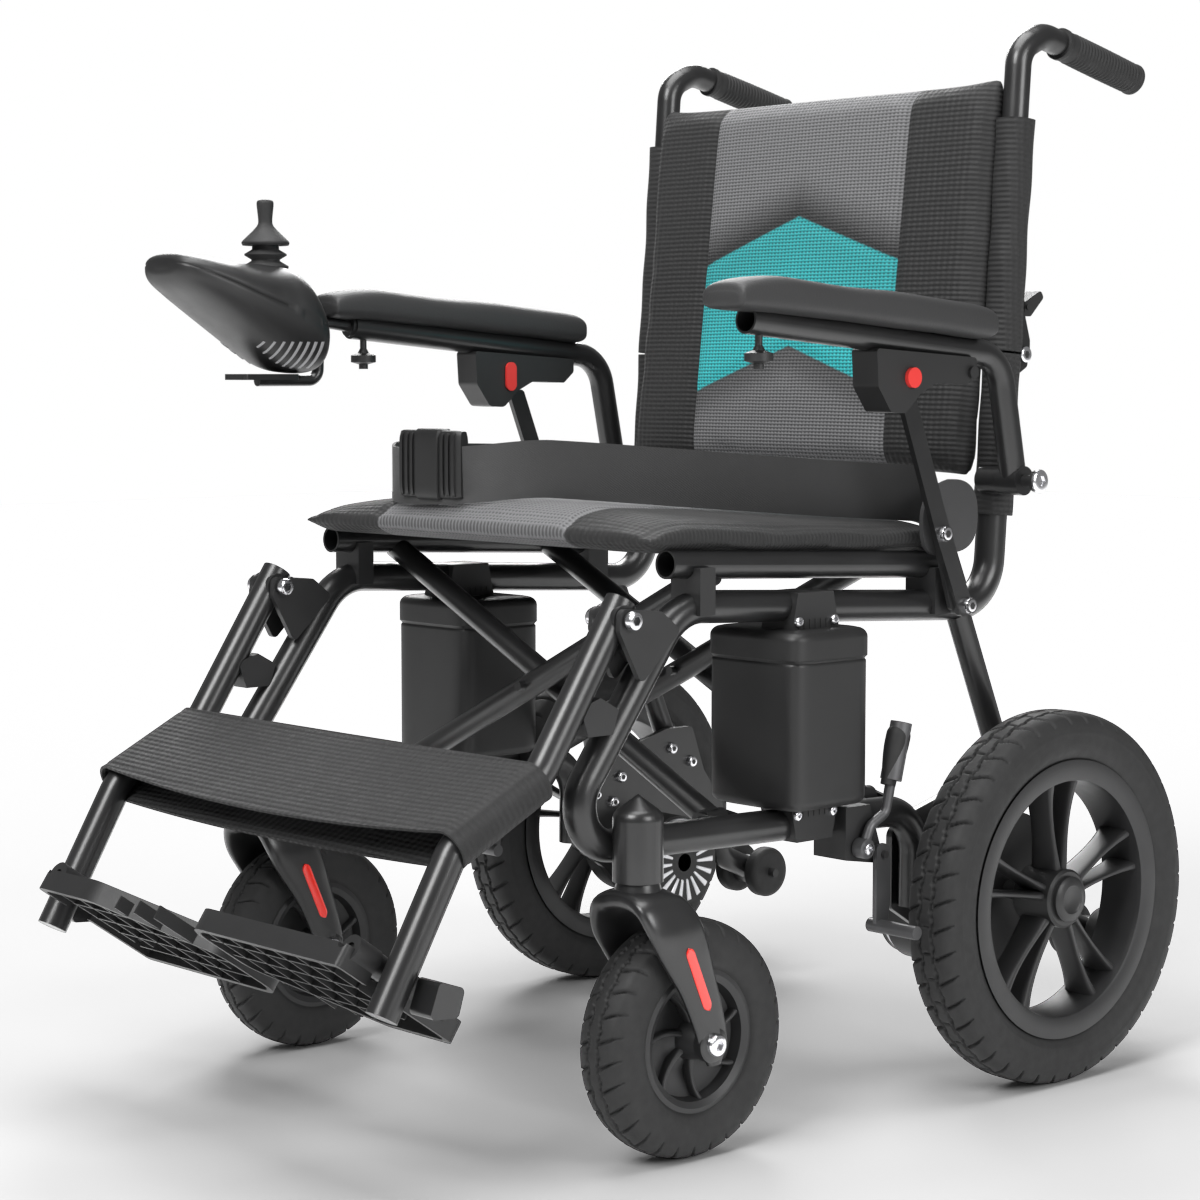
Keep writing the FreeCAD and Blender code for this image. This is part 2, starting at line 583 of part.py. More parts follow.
def frame_bolts(piece, side):
    """Bolts and pins: the strut, arm, back hinge, legrest, fold pins and plates."""
    strut_face = D["strut_x"] - D["strut_thickness"] / 2
    plate_y, plate_z = STRUT_KNEE
    plate = [(plate_y - 8.0, plate_z + 8.0, 3.0), (plate_y + 12.0, plate_z + 8.0, 3.0),
             (plate_y + 40.0, plate_z - 56.0, 3.0), (plate_y + 16.0, plate_z - 64.0, 3.0)]
    piece.plate("YZ", side * (strut_face - 1.75), 3.5, plate)
    head_x = D["strut_x"] + D["strut_thickness"] / 2 + 2.5
    piece.rods("YZ", side * head_x, 5.0, [STRUT_KNEE + (6.0,), STRUT_FOOT + (6.0,)])
    arm_inner = D["frame_x"] + 6.0
    arm_outer = D["arm_x"] + 27.0
    piece.rods("YZ", side * (arm_inner + arm_outer) / 2, arm_outer - arm_inner, [ARM_PIVOT + (5.0,)])
    piece.rods("YZ", side * (arm_outer - 1.5), 5.0, [ARM_PIVOT + (9.0,)])
    piece.rods("YZ", side * D["frame_x"], 28.0, [BACK_HINGE + (3.0,)])
    for end in (-1, 1):
        head = D["frame_x"] + end * 13.4
        piece.rods("YZ", side * head, 3.0, [BACK_HINGE + (6.0,)])
        legrest_head = D["hanger_x"] + end * (D["hanger_radius"] + 8.0)
        piece.rods("YZ", side * legrest_head, 5.0, [LEGREST_PIVOT + (6.5,)])
    piece.rods("YZ", side * D["hanger_x"], D["hanger_radius"] * 2 + 12.0, [LEGREST_PIVOT + (4.0,)])
    pin = D["barrel_length"] + D["moving_gap"] * 2 + D["lug_thickness"] * 2 + 6.0
    for row in frame_bar_rows(side):
        piece.rods("XZ", row, pin, [(side * D["pivot_x"], D["pivot_z"], 4.0)])
    y, z = AXLE
    bolts = [(y - 52.0, z + 54.0, 5.0), (y - 62.0, z + 31.0, 5.0), (y + 14.0, z + 75.0, 5.0),
             (y + 40.0, z + 60.0, 5.0), (y - 84.0, z + 40.0, 5.0)]
    plate_face = D["frame_x"] - D["frame_radius"] - D["plate_thickness"]
    piece.rods("YZ", side * (plate_face - 2.0), 4.0, bolts)
    piece.rods("YZ", side * D["frame_x"], D["tip_wheel_gap"] + D["tip_wheel_width"] * 3,
               [TIP_AXLE + (4.0,)])


def battery_box(side, name):
    piece = Piece(name + "_battery_box")
    half = D["battery_width"] / 2
    middle = side * D["battery_x"]
    height = D["battery_top_z"] - D["battery_foot_z"]
    corners = box(middle - half, middle + half, D["battery_front_y"], D["battery_rear_y"], 8.0)
    piece.plate("XY", (D["battery_top_z"] + D["battery_foot_z"]) / 2, height, corners)
    inner = side * (D["battery_x"] - 46.0)
    for z in (D["battery_top_z"] - 8.0, D["battery_foot_z"] + 10.0):
        piece.rods("XZ", D["battery_front_y"] - 3.0, 8.0, [(inner, z, 5.0)])
    return piece


def drive_motor(side, name):
    """The gearbox outside the axle plate, the motor inside it, and the shaft that the wheel runs on."""
    piece = Piece(name + "_drive_motor")
    plate_outer = D["frame_x"] - D["frame_radius"]
    gearbox = side * (plate_outer + D["gearbox_width"] / 2)
    piece.rods("YZ", gearbox, D["gearbox_width"], [AXLE + (D["gearbox_radius"],)])
    shaft_end = D["wheel_x"] + D["hub_width"] / 2
    shaft_start = plate_outer - D["plate_thickness"] - 1.0
    piece.rods("YZ", side * (shaft_start + shaft_end) / 2, shaft_end - shaft_start, [AXLE + (D["shaft_radius"],)])
    motor = plate_outer - D["plate_thickness"] - D["motor_length"] / 2
    centre = (D["motor_y"], D["motor_z"])
    piece.rods("YZ", side * motor, D["motor_length"], [centre + (D["motor_radius"],)])
    cap = plate_outer - D["plate_thickness"] - D["motor_length"] - D["motor_cap_length"] / 2
    piece.rods("YZ", side * cap, D["motor_cap_length"], [centre + (D["motor_radius"] - 3.0,)])
    return piece


def tip_arm_x():
    """The x of the anti-tip arm, which is let half a millimetre into the plate that it is welded to."""
    return D["frame_x"] - D["frame_radius"] + D["tip_arm_radius"] - 0.5


def antitip_wheels(side, name):
    piece = Piece(name + "_antitip_wheels")
    arm_x = tip_arm_x()
    half = D["tip_wheel_width"] / 2
    bore = 4.0 + D["running_gap"]
    radius = D["tip_wheel_radius"]
    for end in (-1, 1):
        middle = side * (arm_x + end * (D["tip_arm_radius"] + 0.5 + D["moving_gap"] + half))
        piece.wheel(TIP_AXLE, [(middle - half, bore), (middle + half, bore), (middle + half, radius, 5.0),
                               (middle - half, radius, 5.0)])
    return piece


def rear_tyre(side, name):
    piece = Piece(name + "_rear_tyre")
    x = side * D["wheel_x"]
    half = D["tyre_width"] / 2
    bead = D["rim_width"] / 2 - 3.0
    rim = D["rim_radius"]
    piece.wheel(AXLE, [(x - bead, rim), (x + bead, rim), (x + half, rim + 14.0, 6.0),
                       (x + half - 1.0, D["wheel_radius"] - 10.0, 8.0), (x + half - 12.0, D["wheel_radius"], 8.0),
                       (x - half + 12.0, D["wheel_radius"], 8.0), (x - half + 1.0, D["wheel_radius"] - 10.0, 8.0),
                       (x - half, rim + 14.0, 6.0)])
    return piece


def rear_rim(side, name):
    """The cast wheel: rim, hub, cap and five pairs of deep blade spokes."""
    piece = Piece(name + "_rear_rim")
    x = side * D["wheel_x"]
    half = D["rim_width"] / 2
    hub = D["hub_width"] / 2
    bore = D["shaft_radius"] + D["running_gap"]
    piece.wheel(AXLE, [(x - half, D["rim_inner_radius"]), (x + half, D["rim_inner_radius"]),
                       (x + half, D["rim_radius"] - 1.0), (x + half - 3.0, D["rim_radius"]),
                       (x - half + 3.0, D["rim_radius"]), (x - half, D["rim_radius"] - 1.0)])
    piece.wheel(AXLE, box(x - hub, x + hub, bore, D["hub_radius"]))
    cap = side * (D["wheel_x"] + hub + 2.5)
    piece.rods("YZ", cap, 5.0, [AXLE + (D["cap_radius"],)])
    y, z = AXLE
    outer = D["rim_inner_radius"] + 4.0
    for end in (-1, 1):
        turn = math.radians(90.0 + end * number(D["spoke_angle"]))
        lean = math.cos(turn)
        rise = math.sin(turn)
        half_spoke = D["spoke_width"] / 2
        root = (y + D["hub_radius"] * 0.8 * lean, z + D["hub_radius"] * 0.8 * rise)
        tip = (y + outer * lean, z + outer * rise)
        corners = [(root[0] - half_spoke, root[1]), (root[0] + half_spoke, root[1]),
                   (tip[0] + half_spoke, tip[1]), (tip[0] - half_spoke, tip[1])]
        blade = piece.plate("YZ", x, D["spoke_depth"], corners)
        sketch = piece.sketch("YZ", 0.0, y, z)
        draw_circles(sketch, [(0.0, 0.0, 1.0)])
        piece.repeat(blade, (sketch, ["N_Axis"]), 5)
    return piece


def caster_fork(side, name):
    """The swivelling fork: stem, collar, crown, two legs and the wheel's axle bolt."""
    piece = Piece(name + "_caster_fork")
    x = side * D["caster_x"]
    stem = (x, D["stem_y"])
    crown_top = D["crown_top_z"]
    piece.spindle(stem, [(0.0, crown_top - 8.0), (D["collar_radius"] + 2.0, crown_top - 8.0),
                         (D["collar_radius"], D["housing_foot_z"] - D["moving_gap"]),
                         (D["stem_radius"], D["housing_foot_z"] - D["moving_gap"]),
                         (D["stem_radius"], D["housing_top_z"] - 6.0), (0.0, D["housing_top_z"] - 6.0)])
    half = D["fork_half_width"]
    y = D["stem_y"]
    crown = [(x - half, D["crown_foot_z"] - 12.0, 4.0), (x - half, D["crown_foot_z"], 7.0),
             (x - 20.0, crown_top - 1.0, 7.0), (x + 20.0, crown_top - 1.0, 7.0), (x + half, D["crown_foot_z"], 7.0),
             (x + half, D["crown_foot_z"] - 12.0, 4.0)]
    piece.plate("XZ", y, 38.0, crown)
    axle_y, axle_z = CASTER_AXLE
    leg = [(y - 19.0, D["crown_foot_z"] - 1.0, 6.0), (y - 19.0, D["crown_foot_z"] - 22.0, 12.0),
           (axle_y - 15.0, axle_z - 4.0, 8.0), (axle_y - 6.0, axle_z - 15.0, 9.0), (axle_y + 10.0, axle_z - 14.0, 9.0),
           (axle_y + 15.0, axle_z + 2.0, 8.0), (y + 21.0, D["crown_foot_z"] - 20.0, 16.0),
           (y + 19.0, D["crown_foot_z"] - 1.0, 6.0)]
    for end in (-1, 1):
        piece.plate("YZ", x + end * (half - D["fork_thickness"] / 2), D["fork_thickness"], leg)
    piece.rods("YZ", x, half * 2 + 8.0, [CASTER_AXLE + (D["caster_axle_radius"],)])
    for end in (-1, 1):
        piece.rods("YZ", x + end * (half + 2.5), 5.0, [CASTER_AXLE + (8.0,)])
    return piece


def caster_tyre(side, name):
    piece = Piece(name + "_caster_tyre")
    x = side * D["caster_x"]
    half = D["caster_width"] / 2
    rim = D["caster_rim_radius"]
    radius = D["caster_radius"]
    piece.wheel(CASTER_AXLE, [(x - half + 4.0, rim), (x + half - 4.0, rim), (x + half, rim + 12.0, 6.0),
                              (x + half - 1.0, radius - 9.0, 7.0), (x + half - 11.0, radius, 7.0),
                              (x - half + 11.0, radius, 7.0), (x - half + 1.0, radius - 9.0, 7.0),
                              (x - half, rim + 12.0, 6.0)])
    return piece


def caster_rim(side, name):
    piece = Piece(name + "_caster_rim")
    x = side * D["caster_x"]
    half = D["caster_width"] / 2 - 4.0
    hub = D["caster_hub_width"] / 2
    bore = D["caster_axle_radius"] + D["running_gap"]
    rim = D["caster_rim_radius"]
    outline = [(x - hub, bore), (x + hub, bore), (x + hub, D["caster_hub_radius"]), (x + 6.0, D["caster_hub_radius"] + 2.0),
               (x + 5.0, rim - 10.0, 3.0), (x + half, rim - 7.0), (x + half, rim), (x - half, rim),
               (x - half, rim - 7.0), (x - 5.0, rim - 10.0, 3.0), (x - 6.0, D["caster_hub_radius"] + 2.0),
               (x - hub, D["caster_hub_radius"])]
    piece.wheel(CASTER_AXLE, outline)
    y, z = CASTER_AXLE
    sketch = piece.sketch("YZ", x, y, z)
    draw_circles(sketch, [(0.0, (rim + D["caster_hub_radius"]) / 2 - 2.0, 9.0)])
    window = piece.pad(sketch, 30.0, cut=True)
    piece.repeat(window, (sketch, ["N_Axis"]), 6)
    return piece


def arm_tube(side, name):
    piece = Piece(name + "_arm_tube")
    x = side * D["arm_x"]
    bore = D["arm_radius"] - D["arm_wall"]
    foot = (ARM_PIVOT[0], ARM_PIVOT[1])
    corners = [ARM_FRONT, ARM_REAR + (D["arm_bend"],), foot]
    piece.tube("YZ", x, corners, D["arm_radius"])
    piece.rods("YZ", x, D["arm_radius"] * 2 + 1.0, [ARM_PIVOT + (D["arm_radius"] + 1.0,)])
    mouth = [(D["arm_front_y"] - 1.0, arm_z(D["arm_front_y"] - 1.0)), (D["arm_rear_y"] - 60.0, arm_z(D["arm_rear_y"] - 60.0))]
    piece.tube("YZ", x, mouth, bore, cut=True)
    piece.rods("YZ", x, 60.0, [ARM_PIVOT + (5.0 + D["running_gap"],)], cut=True)
    knob_z = arm_z(D["knob_y"])
    piece.rods("XY", knob_z - D["arm_radius"], D["arm_radius"] * 2 - 2.0, [(x, D["knob_y"], 3.0)], cut=True)
    return piece


def arm_pad(side, name):
    piece = Piece(name + "_arm_pad")
    front = D["pad_front_y"]
    rear = D["pad_rear_y"]
    gap = D["arm_radius"] + 0.1
    corners = [(front, arm_z(front) + gap - 2.0, 8.0), (front + 4.0, arm_z(front) + 32.0, 12.0),
               (front + 50.0, arm_z(front) + 34.0, 40.0), (front + 110.0, arm_z(front) + 26.0, 60.0),
               (rear, arm_z(rear) + 37.0, 10.0), (rear, arm_z(rear) + gap - 2.0, 6.0)]
    piece.plate("YZ", side * D["pad_x"], D["pad_width"], corners)
    tube = [(front - 5.0, arm_z(front - 5.0)), (rear + 30.0, arm_z(rear + 30.0))]
    piece.tube("YZ", side * D["arm_x"], tube, gap, cut=True)
    return piece


def arm_lock(side, name):
    """The block under the arm tube that locks it to the strut, with the push button through it."""
    piece = Piece(name + "_arm_lock")
    x = side * D["arm_x"]
    y, z = D["button_y"], D["button_z"]
    corners = [(y - 41.0, z + 23.0, 3.0), (y - 39.0, z - 7.0, 6.0), (y - 24.0, z - 27.0, 6.0),
               (y - 7.0, z - 28.0, 8.0), (y + 10.0, z - 13.0, 10.0), (y + 27.0, z - 5.0, 8.0),
               (y + 43.0, z - 5.0, 4.0), (y + 66.0, z - 6.0, 4.0), (y + 78.0, z + 4.0, 4.0), (y + 78.0, z + 16.0, 3.0)]
    piece.plate("YZ", x, D["lock_width"], corners)
    tube = [(y - 70.0, arm_z(y - 70.0)), (y + 100.0, arm_z(y + 100.0))]
    piece.tube("YZ", x, tube, D["arm_radius"] + 0.1, cut=True)
    slot = D["strut_thickness"] + 2.0
    catch_y, catch_z = CATCH
    corners = [(catch_y - 34.0, catch_z - 30.0), (catch_y + 16.0, catch_z - 30.0), (catch_y + 16.0, catch_z + 11.0),
               (catch_y - 18.0, catch_z + 11.0)]
    piece.plate("YZ", side * D["strut_x"], slot, corners, cut=True)
    piece.rods("YZ", x, 60.0, [(y, z, 4.0 + D["running_gap"])], cut=True)
    recess = D["arm_x"] + D["lock_width"] / 2
    piece.rods("YZ", side * recess, (D["button_travel"] + 1.5) * 2, [(y, z, 8.4)], cut=True)
    piece.rods("YZ", side * (recess + 1.5), 3.0, [(y + 72.0, z + 4.0, 5.0)])
    return piece


def arm_button(side, name):
    piece = Piece(name + "_arm_button")
    outer = D["arm_x"] + D["lock_width"] / 2
    inner = D["arm_x"] - D["lock_width"] / 2
    y, z = D["button_y"], D["button_z"]
    piece.rods("YZ", side * (outer + 1.0), 4.5, [(y, z, 8.0)])
    start = inner - 1.0
    end = outer + 1.0
    piece.rods("YZ", side * (start + end) / 2, end - start, [(y, z, 4.0)])
    piece.plate("YZ", side * (inner - 1.5), 2.0, box(y - 6.0, y + 6.0, z - 13.0, z + 13.0, 5.8))
    return piece


def arm_strut(side, name):
    """The flat bar from the rail up to the arm lock."""
    piece = Piece(name + "_arm_strut")
    half = D["strut_width"] / 2
    corners = []
    for (y, z), lean in ((STRUT_FOOT, -1.0), (STRUT_KNEE, -1.0), (CATCH, -1.0), (CATCH, 1.0), (STRUT_KNEE, 1.0),
                         (STRUT_FOOT, 1.0)):
        reach = 7.0 if (y, z) == CATCH else (-7.0 if (y, z) == STRUT_FOOT else 0.0)
        corners.append((y + half * lean * 0.92, z + half * lean * 0.4 + reach, 5.0))
    piece.plate("YZ", side * D["strut_x"], D["strut_thickness"], corners)
    return piece


def clamp_knob(side, name):
    """The thumb screw under the arm's open mouth."""
    piece = Piece(name + "_clamp_knob")
    centre = (side * D["arm_x"], D["knob_y"])
    tip = arm_z(D["knob_y"]) - D["arm_radius"] + 1.0
    piece.spindle(centre, [(0.0, tip - 26.0), (4.0, tip - 26.0), (4.0, tip - 22.0), (11.0, tip - 20.0),
                           (11.0, tip - 14.0), (5.0, tip - 12.0), (2.9, tip - 8.0), (2.9, tip), (0.0, tip)])
    return piece


def back_cane(side, name):
    piece = Piece(name + "_back_cane")
    x = side * D["frame_x"]
    foot_z = D["cane_foot_z"]
    foot = (post_y(foot_z), foot_z)
    top_z = D["cane_top_z"]
    corners = [foot, (post_y(top_z), top_z, 24.0), CROOK + (30.0,), GRIP_END]
    piece.tube("YZ", x, corners, D["cane_radius"])
    y, z = BACK_HINGE
    cheek = [(foot[0] - 6.0, foot_z + 30.0), (foot[0] - 6.0, foot_z + 1.0), (y - 7.0, z + 1.0), (y - 7.0, z - 7.0, 6.0),
             (y + 8.0, z - 7.0, 6.0), (y + 8.0, z + 12.0, 6.0), (foot[0] + 12.0, foot_z + 34.0, 4.0)]
    inner = D["knuckle_width"] / 2 + D["moving_gap"]
    for end in (-1, 1):
        level = D["frame_x"] + end * (inner + D["cheek_thickness"] / 2)
        piece.plate("YZ", side * level, D["cheek_thickness"], cheek)
    bridge = box(foot[0] - 2.0, foot[0] + 12.0, foot_z + 14.0, foot_z + 30.0)
    piece.plate("YZ", x, inner * 2, bridge)
    bore_z = top_z - 60.0
    piece.tube("YZ", x, [foot, (post_y(bore_z), bore_z)], D["cane_radius"] - 1.5, cut=True)
    piece.rods("YZ", x, 50.0, [(y, z, 3.0 + D["running_gap"])], cut=True)
    return piece


def back_latch(side, name):
    """The release lever behind the cane, just above the back hinge."""
    piece = Piece(name + "_back_latch")
    y = D["hinge_y"] + 9.0
    z = D["hinge_z"] + 40.0
    piece.plate("YZ", side * D["frame_x"], 14.0, [(y - 3.0, z - 8.0, 2.5), (y + 5.0, z - 8.0, 3.0), (y + 22.0, z + 8.0, 3.0),
                                                 (y + 18.0, z + 14.0, 3.0), (y - 3.0, z + 4.0, 2.5)])
    piece.rods("YZ", side * D["frame_x"], 18.0, [(y, z, 2.5)])
    return piece


def grip(side, name):
    piece = Piece(name + "_grip")
    far_y, far_z = GRIP_END
    run = math.hypot(number(far_y - CROOK[0]), number(far_z - CROOK[1]))
    share = (run - number(D["grip_length"])) / run
    near = along(CROOK, GRIP_END, share)
    x = side * D["frame_x"]
    end = along(CROOK, GRIP_END, 1.0 + 3.0 / run)
    piece.tube("YZ", x, [near, end], D["grip_radius"])
    piece.tube("YZ", x, [near, GRIP_END], D["cane_radius"], cut=True)
    return piece


def legrest_hanger(side, name):
    piece = Piece(name + "_legrest_hanger")
    x = side * D["hanger_x"]
    corners = [(D["hanger_top_y"], D["hanger_top_z"]), KNEE + (40.0,), SHIN + (40.0,), HANGER_FOOT]
    piece.tube("YZ", x, corners, D["hanger_radius"])
    piece.rods("YZ", x, D["hanger_radius"] * 2, [LEGREST_PIVOT + (D["hanger_radius"] - 1.0,)])
    piece.rods("YZ", x, 60.0, [LEGREST_PIVOT + (4.0 + D["running_gap"],)], cut=True)
    hinge_x = side * D["flip_x"]
    piece.tube("YZ", hinge_x, [plate_point(-1.0 * D["knuckle_half"]), plate_point(D["knuckle_half"])], 9.0)
    middle = (D["flip_x"] + D["hanger_x"]) / 2
    piece.rods("YZ", side * middle, D["hanger_x"] - D["flip_x"], [plate_point(0.0) + (7.0,)])
    piece.tube("YZ", hinge_x, [plate_point(D["barrel_middle"] - 48.0), plate_point(D["barrel_middle"] + 48.0)], 4.0)
    ear_y, ear_z = D["plate_hinge_y"], D["plate_hinge_z"]
    ear = [(ear_y + 14.0, ear_z + 6.0, 4.0), (ear_y + 4.0, ear_z - 20.0, 4.0), (ear_y + 30.0, ear_z - 22.0, 4.0),
           (ear_y + 36.0, ear_z - 2.0, 4.0)]
    piece.plate("YZ", side * (D["hanger_x"] + 16.0), 24.0, ear)
    return piece


def plate_point(distance):
    """A point (y, z) on the footplate's hinge line, this far behind its middle."""
    tilt = math.radians(number(D["plate_tilt"]))
    rise = D["flip_rise"]
    return (D["plate_hinge_y"] + distance * math.cos(tilt) + rise * math.sin(tilt),
            D["plate_hinge_z"] - distance * math.sin(tilt) + rise * math.cos(tilt))


def footplate(side, name):
    """A tilted footplate: a thin deck with a deep rim band, and the hinge barrel on its outer edge."""
    tilt = -1.0 * D["plate_tilt"]
    piece = Piece(name + "_footplate", D["plate_hinge_y"], D["plate_hinge_z"], tilt)
    inner = side * D["plate_inner_x"]
    outer = side * D["plate_outer_x"]
    front = -44.0
    rear = D["plate_depth"] + front
    cut_x = side * 122.0
    if side == LEFT:
        corners = [(outer, front, 4.0), (inner, front, 22.0), (inner, rear - 58.0, 22.0), (cut_x, rear, 30.0), (outer, rear, 8.0)]
    else:
        corners = [(outer, front, 8.0), (cut_x, front, 30.0), (inner, front + 58.0, 22.0), (inner, rear, 22.0), (outer, rear, 4.0)]
    band = D["plate_band"]
    piece.plate("XY", 0.0, band, corners)
    middle = (number(inner) + number(outer)) / 2
    centre = (number(front) + number(rear)) / 2
    pocket = [(middle + (number(u) - middle) * 0.955, centre + (number(v) - centre) * 0.91, number(r) * 0.8)
              for u, v, r in corners]
    piece.plate("XY", -0.5 * band + 6.0, band - 5.0, pocket, cut=True)
    barrel = side * D["flip_x"]
    half_gap = D["knuckle_half"] + D["moving_gap"]
    notch = box(side * (D["flip_x"] - 12.0), side * (D["flip_x"] + 12.0), -1.0 * half_gap, half_gap)
    piece.rods("XZ", D["barrel_middle"], 100.0, [(barrel, D["flip_rise"], 10.0)])
    piece.plate("XY", 0.0, 60.0, notch, cut=True)
    piece.rods("XZ", D["barrel_middle"], 140.0, [(barrel, D["flip_rise"], 4.0 + D["running_gap"])], cut=True)
    return piece


def calf_strap():
    piece = Piece("calf_strap")
    gap = D["hanger_radius"] + D["soft_gap"]
    top = along(KNEE, SHIN, 0.16)
    run = math.hypot(number(SHIN[0] - KNEE[0]), number(SHIN[1] - KNEE[1]))
    back = number(SHIN[0] - KNEE[0]) / run
    drop = number(SHIN[1] - KNEE[1]) / run
    corners = []
    outer = gap + D["strap_thickness"]
    for point, reach in ((top, gap), (SHIN, gap), (SHIN, outer), (top, outer)):
        corners.append((point[0] + reach * drop, point[1] - reach * back))
    piece.plate("YZ", 0.0, D["strap_half_length"] * 2, corners)
    return piece


def seat_cushion():
    piece = Piece("seat_cushion")
    gap = D["seat_tube_radius"] + D["soft_gap"]
    half = D["seat_half_width"]
    sections = []
    for y in (D["cushion_front_y"], D["cushion_rear_y"]):
        low = seat_tube_z(y) + gap
        top = low + D["seat_edge_height"]
        crown = low + D["seat_crown_height"]
        sections.append((y, [(-1.0 * half, low, 4.0), (half, low, 4.0), (half, top, 6.0), (80.0, crown, 60.0),
                             (-80.0, crown, 60.0), (-1.0 * half, top, 6.0)]))
    piece.loft("XZ", sections)
    return piece


def back_pad(upper):
    """One half of the padded back, in front of the posts."""
    piece = Piece("back_pad_upper" if upper else "back_pad_lower")
    split = D["hinge_z"] + (D["back_split"] if upper else -1.0 * D["back_split"])
    foot = (height_y(split), split) if upper else BACK_FOOT
    top = BACK_TOP if upper else (height_y(split), split)
    tube = D["cane_radius"] if upper else D["frame_radius"]
    foot_rear = post_y(foot[1]) - tube - D["soft_gap"]
    top_rear = post_y(top[1]) - tube - D["soft_gap"]
    edge = 4.0
    corners = [(foot[0], foot[1], edge), (foot_rear, foot[1], edge), (top_rear, top[1], edge), (top[0], top[1], edge)]
    piece.plate("YZ", 0.0, D["back_half_width"] * 2, corners)
    return piece


def height_y(z):
    """The y of the back's front face at height z."""
    return BACK_FOOT[0] + (BACK_TOP[0] - BACK_FOOT[0]) * (z - BACK_FOOT[1]) / (BACK_TOP[1] - BACK_FOOT[1])


def cross_frame(side, label):
    """One half of the folding scissor: a seat tube with the two cross bars that carry it.

    The side is the one that the seat tube is on, and the bars' feet are on the other side.
    """
    piece = Piece(label)
    x = side * D["seat_tube_x"]
    foot_x = -1.0 * side * D["pivot_x"]
    tube = [SEAT_FRONT, SEAT_REAR]
    piece.tube("YZ", x, tube, D["seat_tube_radius"])
    rows = frame_bar_rows(-side)
    for row in rows:
        piece.tube("XZ", row, [(foot_x, D["pivot_z"]), (x, D["bar_top_z"])], D["bar_radius"])
        piece.rods("XZ", row, D["barrel_length"], [(foot_x, D["pivot_z"], D["barrel_radius"])])
        piece.rods("XZ", row, 40.0, [(foot_x, D["pivot_z"], 4.0 + D["running_gap"])], cut=True)
    piece.tube("YZ", x, tube, D["seat_tube_radius"] - D["seat_tube_wall"], cut=True)
    for row in rows:
        if side == LEFT:
            length = D["bar_gap"] + D["bar_radius"] * 2 + 12.0
            piece.rods("XZ", row + D["bar_gap"] / 2, length, [(0.0, centre_z(), 4.0)])
        else:
            piece.rods("XZ", row, 40.0, [(0.0, centre_z(), 4.0 + D["running_gap"])], cut=True)
    return piece


def centre_z():
    """The height at which the cross bars' lines meet x = 0."""
    share = D["pivot_x"] / (D["pivot_x"] + D["seat_tube_x"])
    return D["pivot_z"] + (D["bar_top_z"] - D["pivot_z"]) * share


def brake_lever(side, name):
    piece = Piece(name + "_brake_lever")
    x = side * D["brake_x"]
    y, z = D["brake_pivot_y"], D["brake_pivot_z"]
    piece.tube("YZ", x, [(y, z), (y + 8.0, z + 17.0, 9.0), (y + 26.0, z + 26.0, 9.0), (y + 34.0, z + 60.0)], 4.0)
    piece.rods("YZ", x, 10.0, [(y, z, 8.0)])
    piece.rods("YZ", x, 20.0, [(y, z, 3.0 + D["running_gap"])], cut=True)
    foot = (y + 32.0, z + 52.0)
    top = (y + 44.0, z + 97.0)
    piece.tube("YZ", x, [foot, top], 8.5)
    return piece


def brake_shoe(side, name):
    piece = Piece(name + "_brake_shoe")
    x = side * D["brake_x"]
    y, z = D["shoe_pivot_y"] + 6.0, D["shoe_pivot_z"]
    link = [(y - 8.0, z + 8.0, 4.0), (y + 8.0, z + 8.0, 6.0), (y + 8.0, z - 40.0, 4.0), (y + 4.0, z - 62.0, 3.0), (y - 8.0, z - 62.0, 3.0)]
    piece.plate("YZ", x, 4.0, link)
    piece.rods("YZ", x, 20.0, [(y, z, 3.0 + D["running_gap"])], cut=True)
    piece.rods("YZ", x + side * 16.0, 50.0, [(y - 3.0, z - 58.0, 5.5)])
    return piece


def lap_belt():
    """The belt that lies on the seat, standing on its edge, as one closed loop with its buckle."""
    piece = Piece("lap_belt")
    low = seat_tube_z(D["cushion_front_y"]) + D["seat_tube_radius"] + D["seat_crown_height"] + D["soft_gap"] + 1.0
    outer = [(196.0, 118.0, 6.0), (150.0, 20.0, 60.0), (60.0, -110.0, 60.0), (-60.0, -150.0, 46.0), (-150.0, -60.0, 70.0),
             (-196.0, 118.0, 6.0), (-193.0, 120.0), (-146.0, -58.0, 68.0), (-58.0, -146.0, 43.0), (58.0, -107.0, 57.0),
             (147.0, 22.0, 58.0), (193.0, 120.0)]
    piece.plate("XY", low + 24.0, 46.0, outer)
    return piece


def controller_arm():
    """The rod that slides in the arm tube's mouth, bent down and forward under the controller."""
    piece = Piece("controller_arm")
    x = RIGHT * D["arm_x"]
    front = D["arm_front_y"]
    bore = D["arm_radius"] - D["arm_wall"] - D["running_gap"]
    plug = [(front + 90.0, arm_z(front + 90.0)), (front - 3.0, arm_z(front - 3.0))]
    piece.tube("YZ", x, plug, bore)
    bend = (front - 34.0, arm_z(front - 34.0) + 1.0, 10.0)
    low = D["pod_foot_z"] - 6.0
    piece.tube("YZ", x, [plug[1], bend, (front - 36.0, low, 10.0), (front - 100.0, low)], 5.0)
    piece.plate("XY", D["pod_foot_z"] - 3.0, 5.0, box(x - 16.0, x + 16.0, front - 124.0, front - 66.0, 4.0))
    return piece


